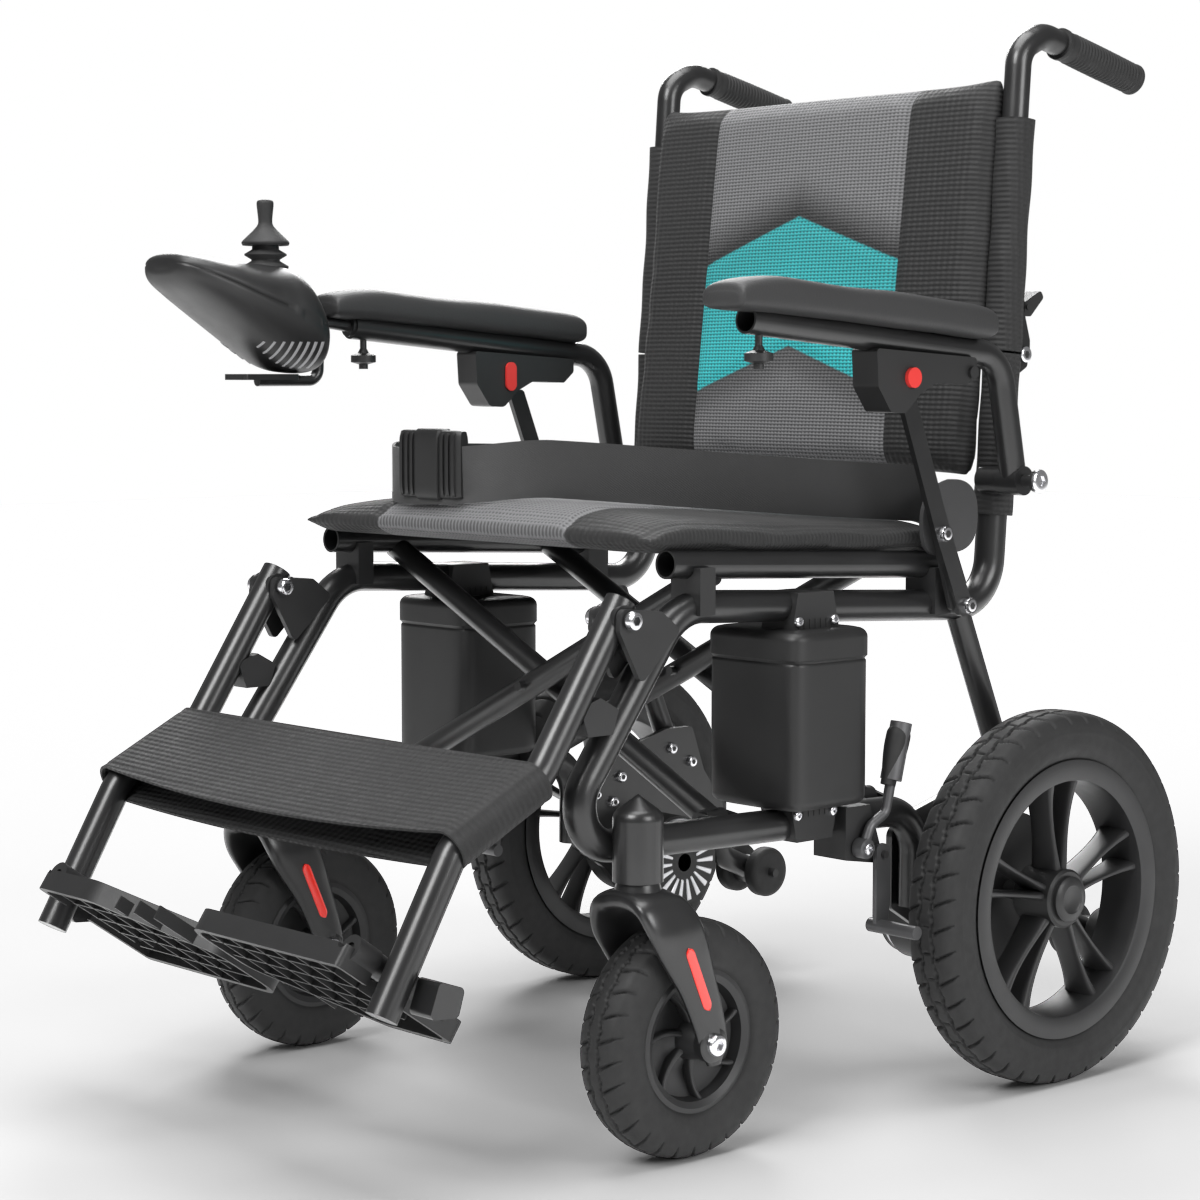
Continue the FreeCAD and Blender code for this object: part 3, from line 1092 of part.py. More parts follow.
def controller_pod():
    piece = Piece("controller_pod")
    x = RIGHT * D["arm_x"]
    y = D["pod_y"]
    width = D["pod_half_width"]
    foot = D["pod_foot_z"]
    sections = []
    for height, front, rear, inset, radius in ((0.0, -14.0, 62.0, 18.0, 12.0), (27.0, -42.0, 70.0, 8.0, 20.0),
                                              (62.0, -68.0, 74.0, 0.0, 26.0), (80.0, -72.0, 72.0, 2.0, 26.0),
                                              (92.0, -52.0, 64.0, 10.0, 24.0)):
        half = width - inset
        sections.append((foot + height, box(x - half, x + half, y + front, y + rear, radius)))
    piece.loft("XY", sections)
    well = D["stick_z"] - 14.0
    piece.spindle((x, D["stick_y"]), box(0.0, 24.0, well, foot + 100.0), cut=True)
    piece.rods("XY", foot + 92.0, 12.0, [(x, y - 30.0, 7.0)], cut=True)
    return piece


def stick_gimbal():
    piece = Piece("stick_gimbal")
    x = RIGHT * D["arm_x"]
    centre = (x, D["stick_y"])
    z = D["stick_z"]
    piece.spindle(centre, box(13.5, 17.0, z - 3.0, z + 3.0))
    piece.rods("YZ", x, 45.0, [(D["stick_y"], z, 1.5)])
    piece.spindle(centre, box(0.0, 13.5, z - 6.0, z + 6.0), cut=True)
    return piece


def joystick():
    piece = Piece("joystick")
    x = RIGHT * D["arm_x"]
    centre = (x, D["stick_y"])
    z = D["stick_z"]
    top = D["stick_top_z"]
    piece.spindle(centre, [(0.0, z - 6.0), (6.0, z - 6.0), (11.0, z), (6.0, z + 8.0), (6.0, z + 15.0), (17.0, z + 15.0),
                           (17.0, z + 18.0), (9.0, z + 34.0), (5.0, z + 40.0), (5.0, top - 14.0), (9.0, top - 6.0, 3.0),
                           (8.0, top, 3.0), (0.0, top)])
    piece.rods("XZ", D["stick_y"], 26.8, [(x, z, 1.5)])
    return piece


def power_button():
    piece = Piece("power_button")
    x = RIGHT * D["arm_x"]
    top = D["pod_foot_z"] + 92.0
    piece.rods("XY", top - 0.5, 5.0, [(x, D["pod_y"] - 30.0, 7.0 - 0.2)])
    return piece


SIDE_PARTS = (side_frame, axle_plate, frame_fittings, battery_box, drive_motor, arm_strut, antitip_wheels,
              brake_lever, brake_shoe, back_cane, back_latch, grip, arm_tube, arm_pad, arm_lock, arm_button,
              clamp_knob, legrest_hanger, footplate, rear_tyre, rear_rim, caster_fork, caster_tyre, caster_rim)


def build():
    """Makes every sub-part."""
    for side, name in SIDES:
        for make in SIDE_PARTS:
            make(side, name)
    cross_frame(LEFT, "cross_frame_left_seat")
    cross_frame(RIGHT, "cross_frame_right_seat")
    seat_cushion()
    back_pad(True)
    back_pad(False)
    calf_strap()
    lap_belt()
    controller_arm()
    controller_pod()
    stick_gimbal()
    joystick()
    power_button()
    DOCUMENT.recompute()


def check():
    """Stops, and names them, if features failed or sub-parts have no sound shape."""
    faults = []
    for body in PIECES:
        for item in body.Group + [body]:
            if "Invalid" in item.State or "Error" in item.State:
                faults.append(body.Label + ": " + item.Name)
        if body.Shape.isNull() or not body.Shape.isValid() or not body.Shape.Solids:
            faults.append(body.Label + " has no sound shape")
    if faults:
        raise RuntimeError("; ".join(faults))


def write():
    """Writes each sub-part to its own file."""
    os.makedirs("parts", exist_ok=True)
    for body in PIECES:
        body.Shape.exportStep("parts/" + body.Label + ".step")


build()
check()
write()
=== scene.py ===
"""The looks of a folding power wheelchair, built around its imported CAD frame.

Lengths are metres. The chair faces -Y, +X is its user's left and the floor is z = 0.
"""
import logging
import math
from dataclasses import dataclass, field
from enum import Enum

import bmesh
import bpy
import numpy as np
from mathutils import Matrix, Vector


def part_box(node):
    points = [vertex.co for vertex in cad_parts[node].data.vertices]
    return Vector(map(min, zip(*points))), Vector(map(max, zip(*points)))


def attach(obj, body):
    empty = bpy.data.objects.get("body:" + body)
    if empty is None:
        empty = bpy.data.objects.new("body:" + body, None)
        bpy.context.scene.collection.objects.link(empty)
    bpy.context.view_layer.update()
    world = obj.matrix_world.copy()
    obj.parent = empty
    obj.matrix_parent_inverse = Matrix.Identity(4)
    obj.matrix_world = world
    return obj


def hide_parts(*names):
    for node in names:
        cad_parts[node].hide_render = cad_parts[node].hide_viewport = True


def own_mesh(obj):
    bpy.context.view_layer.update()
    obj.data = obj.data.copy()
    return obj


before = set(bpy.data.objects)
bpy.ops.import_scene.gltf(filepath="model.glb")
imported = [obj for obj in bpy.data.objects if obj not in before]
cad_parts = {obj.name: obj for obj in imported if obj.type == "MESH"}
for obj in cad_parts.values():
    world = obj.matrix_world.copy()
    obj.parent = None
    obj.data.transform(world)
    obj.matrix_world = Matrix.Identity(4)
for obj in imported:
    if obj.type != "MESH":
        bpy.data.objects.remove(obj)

LOG = logging.getLogger("wheelchair")
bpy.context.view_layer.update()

Array = np.ndarray


def middle(node: str) -> Array:
    """The centre of a CAD node's box.

    Args:
        node: The node's name.

    Returns:
        The centre (x, y, z).
    """
    low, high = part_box(node)
    return (np.array(low) + np.array(high)) / 2.0


# Every y below is measured from the middle of the side frame, 200 mm behind the caster axle.
DATUM = float(middle("left_caster_tyre")[1]) + 0.200


def placed(points: Array) -> Array:
    """Moves points from the side frame's datum to the row frame.

    Args:
        points: Points whose last axis is (x, y, z).

    Returns:
        The same points, with the datum added to y.
    """
    return np.asarray(points, dtype=float) + np.array([0.0, DATUM, 0.0])


class Side(Enum):
    """The two sides of the chair."""

    LEFT = 1
    RIGHT = -1

    @property
    def word(self) -> str:
        """The side's name as CAD nodes and bodies spell it."""
        return self.name.lower()


# ---------------------------------------------------------------- surfaces


def mesh_object(name: str, vertices: Array, faces: list, sharp: float = 40.0) -> bpy.types.Object:
    """Makes a smooth-shaded object, with edges sharper than an angle left crisp.

    Args:
        name: The object's name.
        vertices: Points, one row each.
        faces: Tuples of vertex numbers.
        sharp: The angle in degrees past which an edge is crisp.

    Returns:
        The object, linked to the scene, with its faces turned outwards.
    """
    mesh = bpy.data.meshes.new(name)
    mesh.from_pydata(np.asarray(vertices).tolist(), [], faces)
    work = bmesh.new()
    work.from_mesh(mesh)
    bmesh.ops.remove_doubles(work, verts=work.verts, dist=1e-6)
    bmesh.ops.recalc_face_normals(work, faces=work.faces)
    work.to_mesh(mesh)
    work.free()
    mesh.update()
    shade(mesh, sharp)
    piece = bpy.data.objects.new(name, mesh)
    bpy.context.scene.collection.objects.link(piece)
    return piece


def shade(mesh: bpy.types.Mesh, sharp: float) -> None:
    """Shades a mesh smooth, with crisp edges past an angle in degrees."""
    mesh.polygons.foreach_set("use_smooth", np.ones(len(mesh.polygons), dtype=bool))
    mesh.set_sharp_from_angle(angle=math.radians(sharp))


def grid_faces(rows: int, columns: int, wrap_rows: bool, wrap_columns: bool, first: int = 0) -> list:
    """The quads of a grid of points numbered row by row.

    Args:
        rows: The number of rows.
        columns: The number of columns.
        wrap_rows: Whether the last row joins the first.
        wrap_columns: Whether the last column joins the first.
        first: The number of the grid's first point.

    Returns:
        A list of tuples of four vertex numbers.
    """
    row = np.arange(rows if wrap_rows else rows - 1)[:, None]
    column = np.arange(columns if wrap_columns else columns - 1)[None, :]
    after_row = (row + 1) % rows
    after_column = (column + 1) % columns
    corners = (row * columns + column, row * columns + after_column,
               after_row * columns + after_column, after_row * columns + column)
    quads = np.stack(np.broadcast_arrays(*corners), axis=-1).reshape(-1, 4) + first
    return [tuple(quad) for quad in quads.tolist()]


class Shell:
    """Collects several grids of points into one mesh."""

    def __init__(self) -> None:
        """Starts with no points and no faces."""
        self.points: list[Array] = []
        self.faces: list[tuple] = []
        self.count = 0

    def add(self, grid: Array, wrap_rows: bool = False, wrap_columns: bool = True, caps: bool = True) -> None:
        """Adds a grid, with a fan over its first and last row.

        Args:
            grid: Points, shaped (rows, columns, 3).
            wrap_rows: Whether the last row joins the first.
            wrap_columns: Whether the last column joins the first.
            caps: Whether the first and last rows are closed.
        """
        rows, columns = grid.shape[:2]
        self.faces += grid_faces(rows, columns, wrap_rows, wrap_columns, self.count)
        self.points.append(grid.reshape(-1, 3))
        first = self.count
        self.count += rows * columns
        if caps and not wrap_rows:
            for row in (0, rows - 1):
                self.points.append(grid[row].mean(axis=0)[None, :])
                ring = first + row * columns + np.arange(columns)
                after = np.roll(ring, -1)
                self.faces += [(int(a), int(b), self.count) for a, b in zip(ring, after)]
                self.count += 1

    def box(self, low: tuple, high: tuple) -> None:
        """Adds an upright box between two corners."""
        x, y, z = zip(low, high)
        ring = np.array([(x[0], y[0]), (x[1], y[0]), (x[1], y[1]), (x[0], y[1])])
        levels = np.array(z)[:, None, None]
        flat = np.broadcast_to(ring[None], (2, 4, 2))
        self.add(np.concatenate([flat, np.broadcast_to(levels, (2, 4, 1))], axis=-1))

    def make(self, name: str, sharp: float = 40.0, in_frame: bool = False) -> bpy.types.Object:
        """Makes the object, moved from the datum unless its points are already in the row frame."""
        points = np.concatenate(self.points)
        return mesh_object(name, points if in_frame else placed(points), self.faces, sharp)


def smooth_step(low: float, high: float, value: Array) -> Array:
    """0 below low, 1 above high, and 3t^2 - 2t^3 between."""
    share = np.clip((value - low) / (high - low), 0.0, 1.0)
    return share * share * (3.0 - 2.0 * share)


def spin(profile: Array, steps: int, centre: Array, axle: str = "X") -> Array:
    """Carries a closed profile round a line.

    Each point is centre + axial * along + radius * (cos a, sin a) in the plane square to the line.

    Args:
        profile: Points (axial, radius).
        steps: How many steps the turn has.
        centre: A point (x, y, z) on the line.
        axle: "X" or "Z", the line's direction.

    Returns:
        A grid shaped (steps, points, 3), whose rows wrap.
    """
    angle = np.linspace(0.0, 2.0 * np.pi, steps, endpoint=False)[:, None]
    axial = np.broadcast_to(profile[None, :, 0], (steps, len(profile)))
    first = profile[None, :, 1] * np.cos(angle)
    second = profile[None, :, 1] * np.sin(angle)
    grid = (axial, first, second) if axle == "X" else (first, second, axial)
    return np.stack(grid, axis=-1) + np.asarray(centre)


def sweep(path: Array, section: Array, sideways: tuple = (1.0, 0.0, 0.0)) -> Array:
    """Carries a section along a path.

    A point is path + a * side + b * up, where side is the fixed sideways direction made square to the
    path, and up is square to both.

    Args:
        path: Points, shaped (n, 3).
        section: Points (a, b), shaped (k, 2) or (n, k, 2).
        sideways: The direction of a.

    Returns:
        A grid shaped (n, k, 3).
    """
    path = np.asarray(path, dtype=float)
    ahead = np.gradient(path, axis=0)
    ahead /= np.linalg.norm(ahead, axis=1, keepdims=True)
    side = np.asarray(sideways, dtype=float)[None, :] - ahead * (ahead @ np.asarray(sideways))[:, None]
    side /= np.linalg.norm(side, axis=1, keepdims=True)
    up = np.cross(ahead, side)
    section = np.broadcast_to(section, (len(path),) + section.shape[-2:])
    return path[:, None, :] + section[..., :1] * side[:, None, :] + section[..., 1:] * up[:, None, :]


def rounded(half_a: float, half_b: float, power: float = 4.0, steps: int = 32) -> Array:
    """A superellipse: |a / half_a|^power + |b / half_b|^power = 1.

    Args:
        half_a: Half of its width.
        half_b: Half of its height.
        power: 2 is an ellipse, and more is squarer.
        steps: How many points it has.

    Returns:
        Points (a, b), shaped (steps, 2).
    """
    angle = np.linspace(0.0, 2.0 * np.pi, steps, endpoint=False)
    cosine, sine = np.cos(angle), np.sin(angle)
    a = np.sign(cosine) * np.abs(cosine) ** (2.0 / power) * half_a
    b = np.sign(sine) * np.abs(sine) ** (2.0 / power) * half_b
    return np.stack([a, b], axis=-1)


def curve(points: Array, steps: int) -> Array:
    """A smooth curve through points, by Catmull-Rom spans of even share.

    Args:
        points: The points it passes, shaped (n, d).
        steps: How many points come back.

    Returns:
        Points on the curve, shaped (steps, d).
    """
    points = np.asarray(points, dtype=float)
    padded = np.concatenate([2 * points[:1] - points[1:2], points, 2 * points[-1:] - points[-2:-1]])
    share = np.linspace(0.0, len(points) - 1.000001, steps)
    span = share.astype(int)
    t = (share - span)[:, None]
    a, b, c, d = (padded[span + step] for step in range(4))
    return 0.5 * (2 * b + (c - a) * t + (2 * a - 5 * b + 4 * c - d) * t ** 2
                  + (3 * b - a - 3 * c + d) * t ** 3)


# ---------------------------------------------------------------- finishes


class NodePen:
    """Writes shader nodes for one material."""

    def __init__(self, name: str) -> None:
        """Makes an empty node material with this name."""
        self.material = bpy.data.materials.new(name)
        self.material.use_nodes = True
        self.tree = self.material.node_tree
        self.shader = self.tree.nodes["Principled BSDF"]

    def node(self, kind: str, **settings: object) -> bpy.types.Node:
        """Adds a node and sets its properties."""
        node = self.tree.nodes.new("ShaderNode" + kind)
        for name, value in settings.items():
            setattr(node, name, value)
        return node

    def plug(self, source: object, socket: object) -> None:
        """Links a socket, or sets a number or colour on one."""
        if isinstance(source, bpy.types.NodeSocket):
            self.tree.links.new(source, socket)
        else:
            socket.default_value = source

    def math(self, operation: str, first: object, second: object = 0.0,
             third: object = 0.0) -> bpy.types.NodeSocket:
        """The result of a Math node."""
        node = self.node("Math", operation=operation)
        for socket, value in zip(node.inputs, (first, second, third)):
            self.plug(value, socket)
        return node.outputs[0]

    def step(self, value: object, low: float, high: float) -> bpy.types.NodeSocket:
        """A smooth rise from 0 at low to 1 at high."""
        node = self.node("MapRange", interpolation_type="SMOOTHSTEP")
        self.plug(value, node.inputs["Value"])
        node.inputs["From Min"].default_value = low
        node.inputs["From Max"].default_value = high
        return node.outputs["Result"]

    def mix(self, share: object, first: object, second: object) -> bpy.types.NodeSocket:
        """A colour between two."""
        node = self.node("Mix", data_type="RGBA")
        self.plug(share, node.inputs[0])
        self.plug(first, node.inputs[6])
        self.plug(second, node.inputs[7])
        return node.outputs[2]

    def place(self) -> tuple:
        """The x, y and z of a point of the object, and all three as one socket."""
        coordinates = self.node("TexCoord").outputs["Object"]
        split = self.node("SeparateXYZ")
        self.plug(coordinates, split.inputs[0])
        return split.outputs[0], split.outputs[1], split.outputs[2], coordinates

    def noise(self, coordinates: object, scale: float, detail: float = 3.0) -> bpy.types.NodeSocket:
        """Noise about 0.5."""
        node = self.node("TexNoise")
        self.plug(coordinates, node.inputs["Vector"])
        node.inputs["Scale"].default_value = scale
        node.inputs["Detail"].default_value = detail
        return node.outputs["Fac"]

    def bump(self, height: object, depth: float, strength: float = 1.0) -> None:
        """Bumps the surface by a height of 0 to 1 times the depth in metres."""
        node = self.node("Bump")
        node.inputs["Strength"].default_value = strength
        node.inputs["Distance"].default_value = depth
        self.plug(height, node.inputs["Height"])
        self.plug(node.outputs["Normal"], self.shader.inputs["Normal"])

    def roughness(self, value: object, low: float, high: float) -> None:
        """Roughness between two values as the value goes from 0 to 1."""
        node = self.node("MapRange")
        self.plug(value, node.inputs["Value"])
        node.inputs["To Min"].default_value = low
        node.inputs["To Max"].default_value = high
        self.plug(node.outputs["Result"], self.shader.inputs["Roughness"])


def shade_of(value: float, tint: tuple = (1.0, 1.0, 1.03)) -> tuple:
    """A near-grey colour with alpha."""
    return (value * tint[0], value * tint[1], value * tint[2], 1.0)


@dataclass(frozen=True)
class Coat:
    """A hard finish: paint, plated metal or moulded plastic, with grain and slight unevenness."""

    name: str
    colour: tuple
    worn: tuple
    rough_low: float
    rough_high: float
    grain_scale: float = 900.0
    grain_depth: float = 0.00004
    metallic: float = 0.0
    clear: float = 0.0

    def build(self) -> bpy.types.Material:
        """Makes the material: two noises vary colour, roughness and grain."""
        pen = NodePen(self.name)
        coordinates = pen.place()[3]
        broad = pen.noise(coordinates, 14.0)
        fine = pen.noise(coordinates, self.grain_scale, 2.0)
        pen.plug(pen.mix(pen.step(broad, 0.45, 0.75), self.colour, self.worn),
                 pen.shader.inputs["Base Color"])
        pen.roughness(pen.noise(coordinates, 60.0), self.rough_low, self.rough_high)
        pen.bump(fine, self.grain_depth)
        pen.shader.inputs["Metallic"].default_value = self.metallic
        pen.shader.inputs["Coat Weight"].default_value = self.clear
        pen.shader.inputs["Coat Roughness"].default_value = 0.2
        return pen.material


class Weave(Enum):
    """The two directions that a weave's columns and rows are counted along."""

    ACROSS_AND_UP = ((1.0, 0.0, 0.0), (0.0, 0.115, 0.993))
    ACROSS_AND_BACK = ((1.0, 0.0, 0.0), (0.0, 1.0, -0.04))
    BACK_AND_UP = ((0.2, 0.98, 0.0), (0.0, 0.074, 0.997))
    ACROSS_AND_DOWN_THE_LEG = ((1.0, 0.0, 0.0), (0.0, -0.892, -0.452))


@dataclass(frozen=True)
class MeshCloth:
    """Spacer-mesh fabric, with a grey centre panel and a teal chevron where it has them.

    The weave's height is (cos(2 pi v / pitch_v) - cos(2 pi u / pitch_u)) / 2, which puts small ovals
    in offset rows.
    """

    name: str
    weave: Weave
    black: tuple = shade_of(0.0085)
    grey: tuple = shade_of(0.125)
    teal: tuple = (0.018, 0.365, 0.385, 1.0)
    panel_half_width: float = 0.0
    chevron_top: float = 0.0
    chevron_foot: float = 0.0
    chevron_slope: float = 0.35
    pitch_u: float = 0.0062
    pitch_v: float = 0.0042
    fine_u: float = 0.0042
    fine_v: float = 0.0030
    depth: float = 0.0011

    def build(self) -> bpy.types.Material:
        """Makes the material: the weave, its darker holes, and the panels by place."""
        pen = NodePen(self.name)
        x, _, z, coordinates = pen.place()
        u, v = (self.along(pen, coordinates, way) for way in self.weave.value)
        wander = pen.math("MULTIPLY_ADD", pen.noise(coordinates, 30.0), 0.0012, -0.0006)
        u = pen.math("ADD", u, wander)
        v = pen.math("ADD", v, wander)
        outside = pen.step(pen.math("ABSOLUTE", x), self.panel_half_width - 0.0006,
                           self.panel_half_width + 0.0006)
        coarse = self.rows(pen, u, v, self.pitch_u, self.pitch_v)
        fine = self.rows(pen, u, v, self.fine_u, self.fine_v)
        shape = self.between(pen, outside, fine, coarse)
        colour = pen.mix(outside, self.centre_colour(pen, x, z),
                         self.black) if self.panel_half_width else self.black
        holes = pen.step(shape, 0.12, 0.5)
        dark = pen.mix(pen.math("MULTIPLY_ADD", holes, 0.62, 0.38), shade_of(0.0035), colour)
        pen.plug(dark, pen.shader.inputs["Base Color"])
        pen.roughness(pen.noise(coordinates, 80.0), 0.62, 0.85)
        thread = pen.math("MULTIPLY_ADD", pen.noise(coordinates, 1500.0, 2.0), 0.25, shape)
        pen.bump(thread, self.depth, 0.9)
        pen.shader.inputs["Sheen Weight"].default_value = 0.03
        pen.shader.inputs["Sheen Roughness"].default_value = 0.5
        return pen.material

    @staticmethod
    def along(pen: NodePen, coordinates: object, way: tuple) -> bpy.types.NodeSocket:
        """How far a point is along a direction."""
        node = pen.node("VectorMath", operation="DOT_PRODUCT")
        pen.plug(coordinates, node.inputs[0])
        node.inputs[1].default_value = way
        return node.outputs["Value"]

    @staticmethod
    def rows(pen: NodePen, u: object, v: object, pitch_u: float, pitch_v: float) -> bpy.types.NodeSocket:
        """The weave's height, from 0 in a hole to 1 on a thread."""
        up = pen.math("COSINE", pen.math("MULTIPLY", v, 2.0 * math.pi / pitch_v))
        across = pen.math("COSINE", pen.math("MULTIPLY", u, 2.0 * math.pi / pitch_u))
        return pen.math("MULTIPLY_ADD", pen.math("SUBTRACT", up, across), 0.25, 0.5)

    @staticmethod
    def between(pen: NodePen, share: object, first: object, second: object) -> bpy.types.NodeSocket:
        """A number between two."""
        gap = pen.math("SUBTRACT", second, first)
        return pen.math("MULTIPLY_ADD", gap, share, first)

    def centre_colour(self, pen: NodePen, x: object, z: object) -> object:
        """The centre panel's colour: grey, or teal between the chevron's two edges, with painted shade
        darkening the grey beside both edges and the teal towards its top edge.
        """
        if not self.chevron_top:
            return self.grey
        lean = pen.math("MULTIPLY", pen.math("ABSOLUTE", x), self.chevron_slope)
        level = pen.math("ADD", z, lean)
        above = pen.step(level, self.chevron_top - 0.0012, self.chevron_top + 0.0012)
        below = pen.step(level, self.chevron_foot + 0.0012, self.chevron_foot - 0.0012)
        # painted shade: the grey is darkened just above the chevron's top edge, fading upwards over about 45
        # mm
        upper_shade = pen.step(level, self.chevron_top - 0.002, self.chevron_top + 0.045)
        upper = pen.mix(upper_shade, shade_of(0.018), self.grey)
        # painted shade: the grey is darkened just below the chevron's foot, fading downwards over about 35 mm
        lower_shade = pen.step(level, self.chevron_foot + 0.002, self.chevron_foot - 0.035)
        lower = pen.mix(lower_shade, shade_of(0.05), self.grey)
        # painted shade: the teal is darkest at the chevron's top edge and full at its foot
        teal_painted_shade = pen.step(level, self.chevron_top, self.chevron_foot)
        teal = pen.mix(teal_painted_shade, tuple(0.72 * part for part in self.teal[:3]) + (1.0,), self.teal)
        return pen.mix(below, pen.mix(above, teal, upper), lower)


@dataclass(frozen=True)
class SoftSkin:
    """Moulded soft skin with a fine leather grain, as on the arm pads."""

    name: str
    colour: tuple

    def build(self) -> bpy.types.Material:
        """Makes the material: a cell pattern is the grain."""
        pen = NodePen(self.name)
        coordinates = pen.place()[3]
        cells = pen.node("TexVoronoi", feature="SMOOTH_F1")
        pen.plug(coordinates, cells.inputs["Vector"])
        cells.inputs["Scale"].default_value = 620.0
        pen.plug(pen.mix(pen.noise(coordinates, 9.0), self.colour,
                         tuple(0.8 * part for part in self.colour[:3]) + (1.0,)),
                 pen.shader.inputs["Base Color"])
        pen.roughness(pen.noise(coordinates, 40.0), 0.5, 0.66)
        pen.bump(cells.outputs["Distance"], 0.00025, 0.5)
        return pen.material


@dataclass(frozen=True)
class Rubber:
    """Dull rubber with dust in its pores."""

    name: str
    colour: tuple
    dust: tuple

    def build(self) -> bpy.types.Material:
        """Makes the material: fine noise is the pores, and broad noise the dust."""
        pen = NodePen(self.name)
        coordinates = pen.place()[3]
        pen.plug(pen.mix(pen.step(pen.noise(coordinates, 22.0, 6.0), 0.42, 0.8), self.colour, self.dust),
                 pen.shader.inputs["Base Color"])
        pen.roughness(pen.noise(coordinates, 120.0), 0.55, 0.8)
        pen.bump(pen.noise(coordinates, 700.0, 4.0), 0.0002, 0.6)
        return pen.material


@dataclass(frozen=True)
class Webbing:
    """Woven webbing: fine diagonal ribs across a strap."""

    name: str
    colour: tuple
    pitch: float = 0.0016

    def build(self) -> bpy.types.Material:
        """Makes the material: the tint is a sine of x + y + 1.2 z, so ribs cross the strap at a slant."""
        pen = NodePen(self.name)
        x, y, z, coordinates = pen.place()
        along = pen.math("ADD", pen.math("ADD", x, y), pen.math("MULTIPLY", z, 1.2))
        ribs = pen.math("SINE", pen.math("MULTIPLY", along, 2.0 * math.pi / self.pitch))
        tint = pen.math("MULTIPLY_ADD", ribs, 0.18, 0.7)
        pen.plug(pen.mix(tint, shade_of(0.004), self.colour), pen.shader.inputs["Base Color"])
        pen.roughness(pen.noise(coordinates, 50.0), 0.4, 0.6)
        pen.bump(pen.math("MULTIPLY_ADD", ribs, 0.5, 0.5), 0.0003, 0.7)
        pen.shader.inputs["Sheen Weight"].default_value = 0.1
        return pen.material


class Wardrobe:
    """Every finish of the chair, each made once."""

    def __init__(self) -> None:
        """Makes the materials."""
        self.paint = Coat("satin black coat", shade_of(0.0095), shade_of(0.014), 0.27, 0.38, 1400.0,
                          0.00005, 0.0, 0.2).build()
        self.bracket = Coat("matt black moulding", shade_of(0.010), shade_of(0.015), 0.42, 0.55, 1100.0,
                            0.00008).build()
        self.case = Coat("textured black case", shade_of(0.0055), shade_of(0.008), 0.4, 0.52, 1300.0,
                         0.0001).build()
        self.pod = Coat("controller shell", shade_of(0.0085), shade_of(0.012), 0.36, 0.5, 1500.0,
                        0.00008).build()
        self.vent = Coat("vent louvre", shade_of(0.30), shade_of(0.24), 0.5, 0.6, 900.0, 0.00005).build()
        self.rim = Coat("cast wheel", shade_of(0.020), shade_of(0.028), 0.36, 0.5, 800.0, 0.00008,
                        0.2).build()
        self.chrome = Coat("bright bolt", shade_of(0.8), shade_of(0.62), 0.12, 0.26, 300.0, 0.00001,
                           1.0).build()
        self.steel = Coat("dark zinc plate", shade_of(0.07), shade_of(0.11), 0.34, 0.5, 500.0, 0.00003,
                          0.6).build()
        self.alloy = Coat("bare cast alloy", shade_of(0.75), shade_of(0.55), 0.3, 0.5, 400.0, 0.00006,
                          0.9).build()
        self.red = Coat("red moulding", (0.62, 0.035, 0.03, 1.0), (0.5, 0.03, 0.025, 1.0), 0.25, 0.36,
                        600.0, 0.00002, 0.0, 0.3).build()
        self.reflector = Coat("red reflector", (0.85, 0.02, 0.01, 1.0), (0.72, 0.03, 0.02, 1.0), 0.12, 0.2,
                              300.0, 0.00006, 0.0, 0.8).build()
        self.tyre = Rubber("tyre rubber", shade_of(0.0055), shade_of(0.0095)).build()
        self.grip = Rubber("grip rubber", shade_of(0.007), shade_of(0.010)).build()
        self.gaiter = Rubber("gaiter rubber", shade_of(0.011), shade_of(0.016)).build()
        self.pad = SoftSkin("arm pad skin", shade_of(0.019)).build()
        self.belt = Webbing("belt webbing", shade_of(0.014)).build()
        self.back = MeshCloth("back mesh", Weave.ACROSS_AND_UP, panel_half_width=0.1165, chevron_top=0.7265,
                              chevron_foot=0.6125).build()
        self.seat = MeshCloth("seat mesh", Weave.ACROSS_AND_BACK, panel_half_width=0.118).build()
        self.strap = MeshCloth("strap mesh", Weave.ACROSS_AND_DOWN_THE_LEG, pitch_u=0.0074, pitch_v=0.0052,
                               depth=0.0016).build()
        self.sleeve = MeshCloth("sleeve mesh", Weave.BACK_AND_UP, pitch_u=0.006, pitch_v=0.0044).build()
        self.flap = Coat("grey side guard", shade_of(0.030), shade_of(0.038), 0.55, 0.7, 900.0,
                         0.0002).build()


@dataclass
class Assembly:
    """What every sub-assembly has: the finishes, and how a piece is dressed and tied to the frame."""

    wardrobe: Wardrobe

    def dress(self, piece: bpy.types.Object, material: bpy.types.Material, body: str, slot: str,
              *replaced: str) -> bpy.types.Object:
        """Gives a piece its finish and ties it to the frame.

        Args:
            piece: The finished piece.
            material: Its finish.
            body: The CAD body it rides on.
            slot: The record's material slot; not used.
            *replaced: The CAD nodes it stands for.

        Returns:
            The piece.
        """
        piece.data.materials.clear()
        piece.data.materials.append(material)
        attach(piece, body)
        if replaced:
            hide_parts(*replaced)
        LOG.info("%s rides on %s", piece.name, body)
        return piece


# ---------------------------------------------------------------- soft goods


